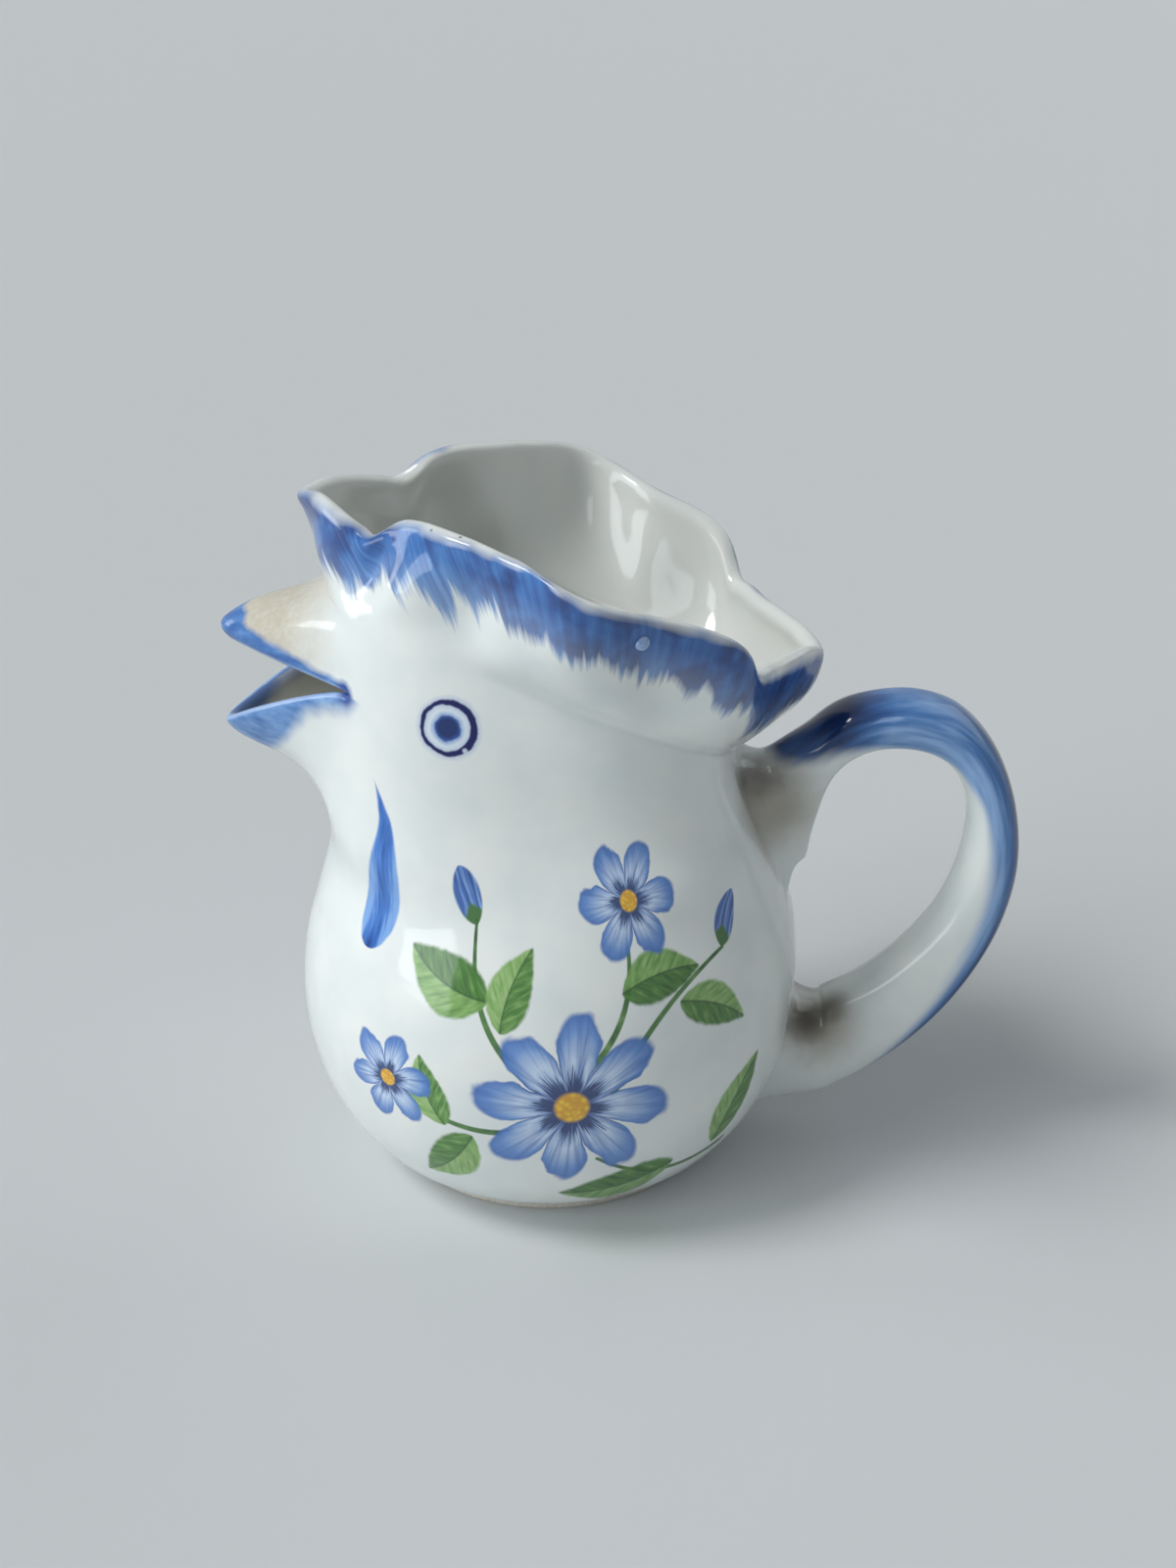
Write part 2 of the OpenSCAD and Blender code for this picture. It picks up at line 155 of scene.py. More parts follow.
# The pot's wall, in millimetres
pot = {
    "bellyRadius": 44.8, "footRadius": 30, "footHeight": 1.6, "wall": 3.2, "floor": 4,
    "browHeight": 108.2, "browReach": 36.6, "napeHeight": 80.5, "napeReach": 33.2,
    "headRadius": 30.7, "creaseRise": 4.5, "square": 0.833,
    "upperTip": (-56.6, 99.5), "lowerTip": (-57.0, 81.7), "beakWall": 2.5, "beakFall": 1.45,
    "columns": 72, "beakColumns": 7,
    # front and back height, front, back and side reach, as shares of the sizes above
    "belly": [(0.046, 0.062, 0.772, 0.772, 0.772), (0.111, 0.149, 0.888, 0.888, 0.888),
              (0.190, 0.255, 0.964, 0.964, 0.964), (0.287, 0.385, 1.000, 1.000, 1.000),
              (0.388, 0.509, 0.980, 0.998, 0.990), (0.476, 0.615, 0.920, 0.969, 0.935),
              (0.555, 0.708, 0.868, 0.915, 0.857)],
    "head": [(0.624, 0.776, 1.049, 1.163, 1.153), (0.684, 0.832, 1.044, 1.102, 1.094),
             (0.739, 0.873, 1.038, 1.060, 1.062), (0.790, 0.904, 1.033, 1.033, 1.049),
             (0.838, 0.929, 1.027, 1.013, 1.046), (0.876, 0.944, 1.024, 1.005, 1.041),
             (0.882, 0.947, 1.023, 1.004, 1.040), (0.899, 0.955, 1.022, 1.000, 1.036),
             (0.920, 0.964, 1.019, 0.997, 1.029), (0.943, 0.974, 1.016, 0.997, 1.020),
             (0.968, 0.985, 1.011, 0.997, 1.010), (0.989, 0.995, 1.005, 0.997, 1.003)],
    "lowerFirst": 8, "lowerLip": 13, "upperLip": 14, "upperLast": 19, "crease": 20,
    # how far a beak's ridge has come to its tip, in reach and in height
    "lowerRidge": [(0, 0), (0.18, 0.28), (0.45, 0.55), (0.72, 0.71), (0.93, 0.86), (1, 1)],
    "upperRidge": [(0.93, 1.29), (1, 1), (0.91, 0.75), (0.675, 0.44), (0.36, 0.22), (0, 0)],
}


def potStations():
    # Rows up the wall: front x and z, back x and z, side reach, squareness, beak's push and pull
    p = pot
    foot, height = p["footRadius"], p["footHeight"]
    rows = [[-foot, height, foot, height, foot, 1, 0, 0, 0]]
    for front, back, reachF, reachB, side in p["belly"]:
        r = p["bellyRadius"]
        rows.append([-r * reachF, p["browHeight"] * front, r * reachB, p["napeHeight"] * back,
                     r * side, 1, 0, 0, 0])
    fronts = [(-p["browReach"] * s[2], p["browHeight"] * s[0]) for s in p["head"]]
    for i, (front, back, reachF, reachB, side) in enumerate(p["head"]):
        k = p["lowerFirst"] + i
        lower = k <= p["lowerLip"]
        base = fronts[0] if lower else fronts[p["upperLast"] - p["lowerFirst"]]
        tip = p["lowerTip"] if lower else p["upperTip"]
        share = p["lowerRidge"][i] if lower else p["upperRidge"][k - p["upperLip"]]
        push = [lerp(base[n], tip[n], share[n]) - fronts[i][n] for n in (0, 1)]
        pull = min(1, 2 * math.hypot(*push) / (-p["lowerTip"][0] - p["browReach"]))
        rows.append([*fronts[i], p["napeReach"] * reachB, p["napeHeight"] * back,
                     p["headRadius"] * side, p["square"], *push, pull])
    rows.append([-p["browReach"], p["browHeight"], p["napeReach"], p["napeHeight"],
                 p["headRadius"], p["square"], 0, 0, 0])
    return rows


stations = potStations()
beakSpan = pot["beakColumns"] * 360 / pot["columns"]
mouthCentre = Vector((-pot["browReach"], 0, (pot["upperTip"][1] + pot["lowerTip"][1]) / 2))
creaseCentre = Vector(((pot["napeReach"] - pot["browReach"]) / 2, 0,
                       (pot["browHeight"] + pot["napeHeight"]) / 2))


def fall(angle):
    f = abs(angle % 360 - 180) / beakSpan
    return (1 - f) ** pot["beakFall"] if f < 1 else 0


def outerAt(u, angle):
    s = spline(stations, u / pot["crease"])
    turn = math.radians(angle)
    c, w = squared(math.cos(turn), s[5]), squared(math.sin(turn), s[5])
    rise = pot["creaseRise"] * math.sin(turn) ** 2 * (u / pot["crease"]) ** 3
    f = fall(angle)
    return Vector(((s[0] + s[2]) / 2 + (s[2] - s[0]) / 2 * c + s[6] * f, s[4] * w,
                   (s[1] + s[3]) / 2 + (s[3] - s[1]) / 2 * c + rise + s[7] * f))


def innerAt(u, angle):
    s = spline(stations, u / pot["crease"])
    point, g = outerAt(u, angle), s[8] * fall(angle)
    aim = Vector(((s[0] + s[2]) / 2, 0, (s[1] + s[3]) / 2)).lerp(mouthCentre, g)
    q = point + (aim - point).normalized() * lerp(pot["wall"], pot["beakWall"], g)
    return Vector((q.x, q.y, max(q.z, pot["footHeight"] + pot["floor"])))


# The comb that stands on the head
comb = {
    "height": 124.2, "halfWidth": 45.5, "lip": 1.1, "bands": 7,
    # angle from the back, reach and height of the rim, lobe by lobe
    "front": [(145, 0.709, 0.970), (153, 0.735, 0.978), (162, 0.770, 0.988),
              (172, 0.819, 0.996), (180, 0.876, 0.992)],
    "side": [(35, 0.980, 0.808), (41, 1.009, 0.851), (47, 1.000, 0.879), (54, 0.962, 0.898),
             (62, 0.943, 0.915), (70, 0.980, 0.932), (77, 1.000, 0.950), (83, 0.965, 0.966),
             (89, 0.860, 0.979), (97, 0.784, 0.988), (105, 0.721, 0.993), (115, 0.686, 0.998),
             (126, 0.663, 1.000), (136, 0.655, 0.994), (141, 0.672, 0.982), (145, 0.709, 0.970)],
    "tail": [(0, 1.081, 0.772), (6, 1.046, 0.784), (13, 1.004, 0.790), (23, 0.974, 0.796),
             (35, 0.980, 0.808)],
    # path from crease to rim at the back, side and front, and the lean of the wall
    "flare": [(0, 0.62, 0.12, 1.00, 0.50), (80, 0.35, 0.20, 0.85, 0.62),
              (180, 0.25, 0.33, 0.60, 0.66)],
    "lean": [(0, 0.9), (80, 0.35), (180, 0.15)],
    # flutes pressed into the wall: angle from the back, how far out or in at mid height
    "fluteDepth": 2.1,
    "flutes": [(0, 0), (20, -0.2), (42, 0.5), (58, -0.5), (72, 0.1), (87, 1), (103, -0.9),
               (126, 0.8), (145, -0.7), (163, 0.5), (180, 0)],
}


def fromBack(angle):  # both sides of the comb are alike
    return 360 - angle if angle > 180 else angle


def rimAt(angle):
    half = fromBack(angle)
    lobe = next(comb[name] for name in ("front", "side", "tail") if half >= comb[name][0][0])
    s = smoothAt(lobe, half)
    r = s[1] * comb["halfWidth"]
    y = r * math.sin(math.radians(half)) * (-1 if angle > 180 else 1)
    return Vector((creaseCentre.x + r * math.cos(math.radians(half)), y,
                   s[2] * comb["height"] - comb["lip"]))


def combOuter(t, angle):
    half, turn = fromBack(angle), math.radians(angle)
    base = outerAt(pot["crease"], angle)
    d = rimAt(angle) - base
    s = smoothAt(comb["flare"], half)
    first = Vector((d.x * s[1], d.y * s[1], d.z * s[2]))
    second = Vector((d.x * s[3], d.y * s[3], d.z * s[4]))
    g = 1 - t
    flute = comb["fluteDepth"] * smoothAt(comb["flutes"], half)[1] * math.sin(math.pi * t) ** 2
    outward = Vector((math.cos(turn), math.sin(turn), 0))
    return base + first * 3 * g * g * t + second * 3 * g * t * t + d * t ** 3 + outward * flute


def combInner(t, angle):
    point, base = combOuter(t, angle), outerAt(pot["crease"], angle)
    r = math.hypot(base.x - creaseCentre.x, base.y)
    lean = smoothAt(comb["lean"], fromBack(angle))[1] * math.sin(math.pi * t)
    rise = (1 - t) * (creaseCentre.z - base.z) / r + lean
    v = Vector((creaseCentre.x - point.x, -point.y, 0))
    return point + (v + Vector((0, 0, v.length * rise))).normalized() * pot["wall"]


# The strap handle and its two roots of slip
handle = {
    "out": 39, "crownRise": 7.4, "slipOut": 4.6, "halfWidth": 6.6, "square": 0.8,
    "sections": 26, "windowColumns": 2, "filletOut": 0.4, "filletIn": 0.7, "evenFrom": 0.3,
    # rows of the pot's cage that each root's window runs between, low and high
    "topRows": (6.2, 14), "footRows": (0.9, 3.8),
    # low and high end of each root and its width, as shares
    "topRoot": (0.694, 0.950, 0.80), "footRoot": (0.097, 0.337, 1.14),
    # outer and inner edge between the roots, and half width, as shares
    "shares": [((-0.005, 1.00), (0.067, 0.798), 0.92),
               ((0.147, 1.59), (0.134, 0.899), 0.98), ((0.326, 1.86), (0.278, 0.955), 1.00),
               ((0.513, 1.88), (0.464, 0.963), 1.00), ((0.697, 1.52), (0.618, 0.937), 1.00),
               ((0.852, 0.967), (0.712, 0.882), 1.00), ((0.957, 0.847), (0.757, 0.801), 1.00),
               ((1.000, 0.714), (0.744, 0.708), 1.00), ((0.974, 0.590), (0.693, 0.618), 1.00),
               ((0.884, 0.462), (0.598, 0.534), 1.01), ((0.727, 0.333), (0.458, 0.454), 1.03),
               ((0.525, 0.224), (0.315, 0.395), 1.06), ((0.310, 0.144), (0.175, 0.355), 1.10)],
}


def strapRows():
    # Rows along the strap: outer x and z, inner x and z, half width
    h, nape, belly = handle, pot["napeHeight"], pot["bellyRadius"]
    heights = [(s[3], k) for k, s in enumerate(stations)]

    def back(z):  # the pot's back at a height
        k = max(i for i in range(len(heights) - 1) if heights[i][0] <= z)
        u = k + (z - heights[k][0]) / (heights[k + 1][0] - heights[k][0])
        s = spline(stations, u / pot["crease"])
        return s[2] + h["slipOut"], s[3]
    low, high, width = h["topRoot"]
    rows = [[*back(nape * high), *back(nape * low), h["halfWidth"] * width]]
    for outer, inner, width in h["shares"]:
        rows.append([v for x, z in (outer, inner) for v in
                     (belly + h["out"] * x, nape * z if z < 1 else nape + h["crownRise"] * (z - 1))]
                    + [h["halfWidth"] * width])
    low, high, width = h["footRoot"]
    x = belly + h["slipOut"]
    return rows + [[x, nape * low, x, nape * high, h["halfWidth"] * width]]


# The cage of the whole glazed pot: rings of points from the foot up the outside, over
# the lip and down the inside to the floor, with the paint's guides kept for each point
cage = {
    "outer": [0, 0.45, 0.9, 1.2625, 1.625, 1.9875, 2.35, 2.7125, 3.075, 3.4375, 3.8, 4.3, 4.8,
              5.3, 5.75, 6.2] + list(range(7, 21)),
    "inner": [20, 18, 16.5, 15, 14, 13, 12, 11, 9.5, 8, 6.7, 5.5, 4.3, 3.3, 2.4, 1.6, 1],
    "baseShares": [0.97, 0.8, 0.5, 0.2], "floorShares": [0.8, 0.5, 0.2],
    "levels": 2, "tightening": 0.9, "tighteningLimit": 1.6, "tighteningRounds": 5,
    # guides and what they are away from their own places: way down from the comb's lip, way from
    # the mouth's lip, row of the cage, across and along the strap, and 1 on the inner wall
    "guides": {"rimDrop": 90, "lipDrop": 60, "row": 0, "across": -3, "along": 0, "inside": 0},
}


def buildCage():
    count = pot["columns"]
    angles = [360 * j / count for j in range(count)]
    points, faces = [], []
    guides = {name: [] for name in cage["guides"]}

    def addPoint(place, **values):
        points.append(Vector(place))
        for name, rest in cage["guides"].items():
            guides[name].append(values.get(name, rest))
        return len(points) - 1

    bands = range(1, comb["bands"] + 1)
    outerRows = [[outerAt(u, a) for a in angles] for u in cage["outer"]]
    combRows = [[combOuter(k / comb["bands"], a) for a in angles] for k in bands]
    lipRow = [(combOuter(1, a) + combInner(1, a)) / 2 + Vector((0, 0, comb["lip"])) for a in angles]
    combInside = [[combInner(k / comb["bands"], a) for a in angles] for k in reversed(bands)]
    innerRows = [[innerAt(u, a) for a in angles] for u in cage["inner"]]
    rings = outerRows + combRows + [lipRow] + combInside + innerRows
    lip = len(outerRows) + len(combRows)
    drops = [[0.0] * count for _ in rings]  # way along the wall from the comb's lip
    for i in range(lip - 1, -1, -1):
        drops[i] = [drops[i + 1][j] + (rings[i][j] - rings[i + 1][j]).length for j in range(count)]
    for i in range(lip + 1, len(rings)):
        drops[i] = [drops[i - 1][j] - (rings[i][j] - rings[i - 1][j]).length for j in range(count)]
    lipRowNumber = pot["crease"] + len(bands) + 1
    rowNumbers = cage["outer"] + [pot["crease"] + k for k in bands] + [lipRowNumber]
    rowNumbers += [lipRowNumber] * len(bands) + cage["inner"]
    half, middle = pot["beakColumns"], count // 2

    def edgeOf(rowsHere, rowList):  # line round the mouth's edge on one face of the wall
        lower, upper = (rowsHere[rowList.index(pot[k])] for k in ("lowerLip", "upperLip"))
        there = range(middle - half, middle + half + 1)
        return [lower[j] for j in there] + [upper[j] for j in reversed(there)] + [lower[there[0]]]
    edges = [edgeOf(outerRows, cage["outer"]), edgeOf(innerRows, cage["inner"])]

    def fromMouth(i, j):  # way from the mouth's edge on the same face of the wall
        edge, point = edges[i > lip], rings[i][j]
        if point.x > 0:
            return cage["guides"]["lipDrop"]
        ways = []
        for a, b in zip(edge, edge[1:]):
            t = max(0, min(1, (point - a).dot(b - a) / max((b - a).length_squared, 1e-9)))
            ways.append((a.lerp(b, t) - point).length)
        return min(ways)
    numbers = []
    for i, ring in enumerate(rings):
        inside = 1 if i > lip else 0.5 if i == lip else 0
        numbers.append([addPoint(ring[j], rimDrop=drops[i][j], row=rowNumbers[i],
                                 lipDrop=fromMouth(i, j), inside=inside) for j in range(count)])

    def rowOf(u, inner=False):
        first = lip + 1 + comb["bands"] if inner else 0
        return next(k for k in range(first, len(rings)) if abs(rowNumbers[k] - u) < 1e-6)
    lowLip, highLip = rowOf(pot["lowerLip"]), rowOf(pot["upperLip"])
    lowInner, highInner = rowOf(pot["lowerLip"], True), rowOf(pot["upperLip"], True)
    side = handle["windowColumns"]
    windows = [(rowOf(low), rowOf(high)) for low, high in (handle["topRows"], handle["footRows"])]

    def isOpen(i, j):
        if i in (lowLip, highInner) and middle - half <= j < middle + half:
            return True
        return any(low <= i < high for low, high in windows) and (j < side or j >= count - side)
    for i in range(len(rings) - 1):
        for j in range(count):
            k = (j + 1) % count
            if not isOpen(i, j):
                faces.append([numbers[i][j], numbers[i][k], numbers[i + 1][k], numbers[i + 1][j]])

    # the mouth's edge, from the outer wall to the inner
    path = [(lowLip, lowInner, j) for j in range(middle - half, middle + half + 1)]
    path += [(highLip, highInner, j) for j in range(middle + half, middle - half - 1, -1)]
    for (a, b, j), (c, d, k) in zip(path, path[1:] + path[:1]):
        faces.append([numbers[a][j], numbers[c][k], numbers[d][k], numbers[b][j]])

    # discs under the casting and on its floor
    for ring, shares, inside in ((0, cage["baseShares"], 0),
                                 (len(rings) - 1, cage["floorShares"], 1)):
        last = numbers[ring]
        heart = sum((points[v] for v in last), Vector()) / count
        marks = {"inside": inside, "rimDrop": cage["guides"]["rimDrop"] * (1 - 2 * inside)}
        for share in shares:
            new = [addPoint(heart.lerp(points[v], share), **marks) for v in numbers[ring]]
            faces.extend([last[j], last[(j + 1) % count], new[(j + 1) % count], new[j]]
                         for j in range(count))
            last = new
        tip = addPoint(heart, **marks)
        faces.extend([last[j], last[(j + 1) % count], tip] for j in range(count))

    # the strap, from the loop of points round one window to that round the other
    def loopOf(low, high, turn):
        around = {numbers[i][j % count] for i in range(low, high + 1) for j in (-side, side)}
        around |= {numbers[i][j % count] for i in (low, high) for j in range(-side, side + 1)}
        zs, ys = [points[v].z for v in around], [points[v].y for v in around]
        zc, zh, yh = (max(zs) + min(zs)) / 2, (max(zs) - min(zs)) / 2, max(ys)
        turned = {}
        for v in around:
            a = math.degrees(math.atan2(-points[v].y / yh, turn * (points[v].z - zc) / zh)) % 360
            turned[v] = a if a < 359.9 else 0
        order = sorted(around, key=turned.get)
        return order, [turned[v] for v in order]

    def section(row, turns):
        out = []
        for a in turns:
            c, w = (squared(f(math.radians(a)), handle["square"]) for f in (math.cos, math.sin))
            share = (1 + c) / 2
            out.append(Vector((lerp(row[2], row[0], share), -row[4] * w,
                               lerp(row[3], row[1], share))))
        return out
    rows = strapRows()
    (topLoop, topTurns), (footLoop, footTurns) = (
        loopOf(*w, t) for w, t in zip(windows, (1, -1)))
    even = [360 * k / len(topLoop) for k in range(len(topLoop))]
    previous = topLoop

    def bridge(new):
        n = len(new)
        faces.extend([previous[k], previous[(k + 1) % n], new[(k + 1) % n], new[k]]
                     for k in range(n))
        return new

    def fillet(loop, ring, along):
        out = []
        for v, q in zip(loop, ring):
            a = points[v]
            place = (lerp(a.x, q.x, handle["filletOut"]), lerp(a.y, q.y, handle["filletIn"]),
                     lerp(a.z, q.z, handle["filletIn"]))
            out.append(addPoint(place, across=-1, along=along, row=guides["row"][v]))
        return out
    last = handle["sections"]
    for k in range(last + 1):
        t = k / last
        blend = min(1, min(t, 1 - t) / handle["evenFrom"])
        blend = blend * blend * (3 - 2 * blend)
        turns = [lerp(a, b, blend) for a, b in zip(topTurns if t < 0.5 else footTurns, even)]
        ring = section(spline(rows, t), turns)
        if k == 0:
            previous = bridge(fillet(topLoop, ring, 0))
        previous = bridge([addPoint(q, across=math.cos(math.radians(a)), along=t)
                           for q, a in zip(ring, turns)])
    previous = bridge(fillet(footLoop, section(rows[-1], footTurns), 1))
    bridge(footLoop)
    return points, faces, guides


def meshOf(name, points, faces):
    mesh = bpy.data.meshes.new(name)
    mesh.from_pydata([p * mm for p in points], [], faces)
    bm = bmesh.new()
    bm.from_mesh(mesh)
    bmesh.ops.recalc_face_normals(bm, faces=bm.faces)
    bm.to_mesh(mesh)
    bm.free()
    return linked(name, mesh)


def tightened(thing, points):
    # Moves the cage out until its rounded surface passes near the wall's own points
    rounding = thing.modifiers.new("rounding", "SUBSURF")
    rounding.levels = rounding.render_levels = cage["levels"]
    limit = cage["tighteningLimit"] * mm
    for _ in range(cage["tighteningRounds"]):
        graph = bpy.context.evaluated_depsgraph_get()
        rounded = thing.evaluated_get(graph).data
        for v, p in zip(thing.data.vertices, points):
            step = (p * mm - rounded.vertices[v.index].co) * cage["tightening"]
            moved = v.co + step - p * mm
            v.co = p * mm + (moved if moved.length < limit else moved.normalized() * limit)
        thing.data.update()
    thing.modifiers.remove(rounding)


# Geometry Nodes: rounds the cage, adds the slight unevenness of poured slip and sets the glaze
skin = {"Levels": ("Int", 2), "Ripple": ("Float", 0.14 * mm), "Ripple Size": ("Float", 15 * mm),
        "Seed": ("Float", 3)}


def buildSkinTree(material):
    tree = bpy.data.node_groups.new("glazeSkin", "GeometryNodeTree")
    add = partial(addNode, tree)
    newSocket = partial(tree.interface.new_socket, "Geometry", socket_type="NodeSocketGeometry")
    newSocket(in_out="INPUT")
    for name, (kind, value) in skin.items():
        tree.interface.new_socket(name, in_out="INPUT",
                                  socket_type="NodeSocket" + kind).default_value = value
    newSocket(in_out="OUTPUT")
    given = add("groupInput").outputs
    rounded = add("GeometryNodeSubdivisionSurface", Mesh=given["Geometry"], Level=given["Levels"])
    noise = add("noise", add("GeometryNodeInputPosition"), given["Seed"],
                add("divide", 1.0, given["Ripple Size"]), Detail=1.0, noise_dimensions="4D")
    height = add("multiply", add("subtract", noise, 0.5), given["Ripple"])
    offset = add("scaleVector", add("GeometryNodeInputNormal"), height)
    moved = add("GeometryNodeSetPosition", Geometry=rounded, Offset=offset)
    smooth = add("GeometryNodeSetShadeSmooth", Geometry=moved)
    real = add("GeometryNodeRealizeInstances", Geometry=smooth)
    finish = add("GeometryNodeSetMaterial", Geometry=real, Material=material)
    add("groupOutput", Geometry=finish)
    return tree


def applied(thing, tree):
    # Runs the tree and keeps its result as the thing's plain mesh
    modifier = thing.modifiers.new("skin", "NODES")
    modifier.node_group = tree
    graph = bpy.context.evaluated_depsgraph_get()
    mesh = bpy.data.meshes.new_from_object(thing.evaluated_get(graph),
                                           preserve_all_data_layers=True, depsgraph=graph)
    thing.modifiers.remove(modifier)
    thing.data = mesh


# Underglaze colours
paint = {
    "navy": "#182c62", "blue": "#406cb6", "lightBlue": "#85a9dc", "paleBlue": "#c7d9ef",
    "yellow": "#eec63c", "ochre": "#d9a030", "darkGreen": "#2f5c24", "green": "#4f8338",
    "lightGreen": "#86b064", "brown": "#33240c", "tan": "#7d6a48", "cream": "#c0b6a2",
}


def colours(ramp, stops):  # fills a colour ramp node with its stops
    elements = ramp.color_ramp.elements
    while len(elements) < len(stops):
        elements.new(0.5)
    for element, (place, colour) in zip(elements, stops):
        element.position = place
        element.color = fromHex(colour)
    return ramp


def curved(curve, stops):  # bends a float curve node through its stops
    points = curve.mapping.curves[0].points
    while len(points) < len(stops):
        points.new(0.5, 0.5)
    for point, stop in zip(points, stops):
        point.location = stop
    curve.mapping.update()
    return curve


# The sprig's motifs. Each is drawn in its own frame, with its size as the unit. Here and in
# the coats, a change has its start and end, and four numbers add its values there. A name in
# Span has a factor and what is added
blossom = {
    "waver": 2.6, "bend": 0.35, "roundness": 0.45, "petalSpan": (0.66, 0.2), "ragged": 0.24,
    "softness": (0, 0.08), "strokes": 9.0, "streakScale": 1.6, "streaks": (0.42, 0.72, 0, 0.75),
    "seam": "#34549f", "seams": (0.55, 0.28, 0, 0.8),
    "rayScale": 3.1, "raySpan": (-0.55, 0.66), "rayEnds": (0, 0.07, 0, 0.9),
    "heart": (0.18, 0.14), "dotScale": 16.0, "dots": (0.25, 0.6),
    "tones": [(0, "blue"), (0.26, "lightBlue"), (0.5, "paleBlue"), (0.8, "#6a94d2"),
              (0.97, "blue")],
}
leaf = {
    "roundness": 0.72, "taperSpan": (-1.6, 3.3), "bow": -0.32, "waver": 9.0, "ragged": 0.05,
    "softness": (0.03, 0.08), "streakSlant": -1.1, "streakScale": 13.0, "streakTone": 0.9,
    "halves": (-0.01, 0.01, -0.12, 0.16), "vein": "#2e5728", "veinWidth": (0.016, 0.006, 0, 0.75),
    "tones": [(0.2, "darkGreen"), (0.45, "green"), (0.7, "lightGreen"), (0.95, "#a9c78b")],
}
stem = {"swellSpan": (0.6, 0.6), "softness": (1.1, 0.6), "blots": 7.0,
        "tones": [(0.35, "#2f5a2b"), (0.55, "#4d7d3e"), (0.75, "#76a060")]}
bud = {"roundness": 0.6, "softness": (0, 0.05), "strokes": (0.5, 6.0, 0.0), "streakScale": 2.0,
       "cup": "#3f6f35", "cupBow": 1.1, "cupEnd": (0.42, 0.34),
       "tones": [(0.3, "navy"), (0.48, "blue"), (0.62, "lightBlue"), (0.8, "paleBlue")]}


def newMotif(name, *extras):
    tree = bpy.data.node_groups.new(name, "ShaderNodeTree")
    sockets = [("Place", "INPUT", "Vector"), *((extra, "INPUT", "Float") for extra in extras),
               ("Color", "OUTPUT", "Color"), ("Mask", "OUTPUT", "Float")]
    for socket, way, kind in sockets:
        tree.interface.new_socket(socket, in_out=way, socket_type="NodeSocket" + kind)
    add = partial(addNode, tree)
    given = add("groupInput").outputs
    return tree, add, given, add("separate", given["Place"]).outputs


def alongMotif(add, x):  # way along it from 0 to 1, what is left, and their product
    along = add("clamp", x)
    rest = add("subtract", 1.0, along)
    return along, rest, add("multiply", along, rest)


def blossomPaint():
    # Round-ended petals with brushed streaks, pale half way in, round a dotted yellow heart
    tree, add, given, (x, y, _) = newMotif("blossomPaint", "Petals", "Seed")
    place, seed = given["Place"], given["Seed"]
    r, turn = add("length", place), add("arctan2", y, x)
    waver = add("noise", place, seed, blossom["waver"], Detail=3.0, noise_dimensions="4D")
    bent = add("multiplyAdd", waver, blossom["bend"], turn)
    wave = add("cosine", add("multiply", bent, add("multiply", given["Petals"], 0.5)))
    petal = add("power", add("absolute", wave), blossom["roundness"])
    reach = add("multiplyAdd", petal, *blossom["petalSpan"])
    edge = add("multiplyAdd", waver, blossom["ragged"], reach)
    mask = add("softRange", add("subtract", edge, r), *blossom["softness"])
    share = add("divide", r, edge)
    colour = colours(add("ramp", share), blossom["tones"])
    strokes = add("combine", add("multiply", turn, blossom["strokes"]), r, seed)
    streaks = add("range", add("noise", strokes, blossom["streakScale"]), *blossom["streaks"])
    colour = add("mixColour", streaks, colour, "blue")
    colour = add("mixColour", add("range", petal, *blossom["seams"]), colour, blossom["seam"])
    rays = add("multiplyAdd", add("noise", strokes, blossom["rayScale"], Detail=1.0),
               *blossom["raySpan"])
    dark = add("range", add("subtract", rays, share), *blossom["rayEnds"])
    colour = add("mixColour", dark, colour, "navy")
    dots = add("range", add("dots", place, blossom["dotScale"]), *blossom["dots"])
    heart = add("mixColour", dots, "yellow", "ochre")
    colour = add("mixColour", add("range", r, *blossom["heart"]), colour, heart)
    add("groupOutput", Color=colour, Mask=mask)
    return tree


def leafPaint():
    # Lance-shaped leaf along X from 0 to 1, two tones of brushed green either side of its vein
    tree, add, given, (x, y, _) = newMotif("leafPaint", "Width", "Tone")
    along, _, product = alongMotif(add, x)
    bulge = add("power", product, leaf["roundness"])
    shaped = add("multiply", bulge, add("multiplyAdd", along, *leaf["taperSpan"]))
    bow = add("multiplyAdd", product, leaf["bow"], y)
    aside = add("absolute", bow)
    gap = add("subtract", add("multiply", shaped, given["Width"]), aside)
    waver = add("noise", given["Place"], leaf["waver"])
    mask = add("softRange", add("multiplyAdd", waver, leaf["ragged"], gap), *leaf["softness"])
    slant = add("multiplyAdd", aside, leaf["streakSlant"], x)
    strokes = add("combine", slant, add("multiply", y, 0.5))
    streaks = add("noise", strokes, leaf["streakScale"], Detail=3.0)
    tone = add("add", add("range", bow, *leaf["halves"]), given["Tone"])
    tone = add("multiplyAdd", streaks, leaf["streakTone"], tone)
    vein = add("range", aside, *leaf["veinWidth"])
    colour = add("mixColour", vein, colours(add("ramp", tone), leaf["tones"]), leaf["vein"])
    add("groupOutput", Color=colour, Mask=mask)
    return tree


def stemPaint():
    # A bowed stroke along X from 0 to 1, thicker where the brush began
    tree, add, given, (x, _, _) = newMotif("stemPaint", "Bend", "Thickness")
    along, rest, product = alongMotif(add, x)
    middle = add("combine", along, add("multiply", product, given["Bend"]))
    swell = add("multiplyAdd", rest, *stem["swellSpan"])
    thick = add("multiply", swell, given["Thickness"])
    share = add("divide", add("distance", given["Place"], middle), thick)
    blots = add("noise", given["Place"], stem["blots"])
    add("groupOutput", Color=colours(add("ramp", blots), stem["tones"]),
        Mask=add("softRange", share, *stem["softness"]))
    return tree


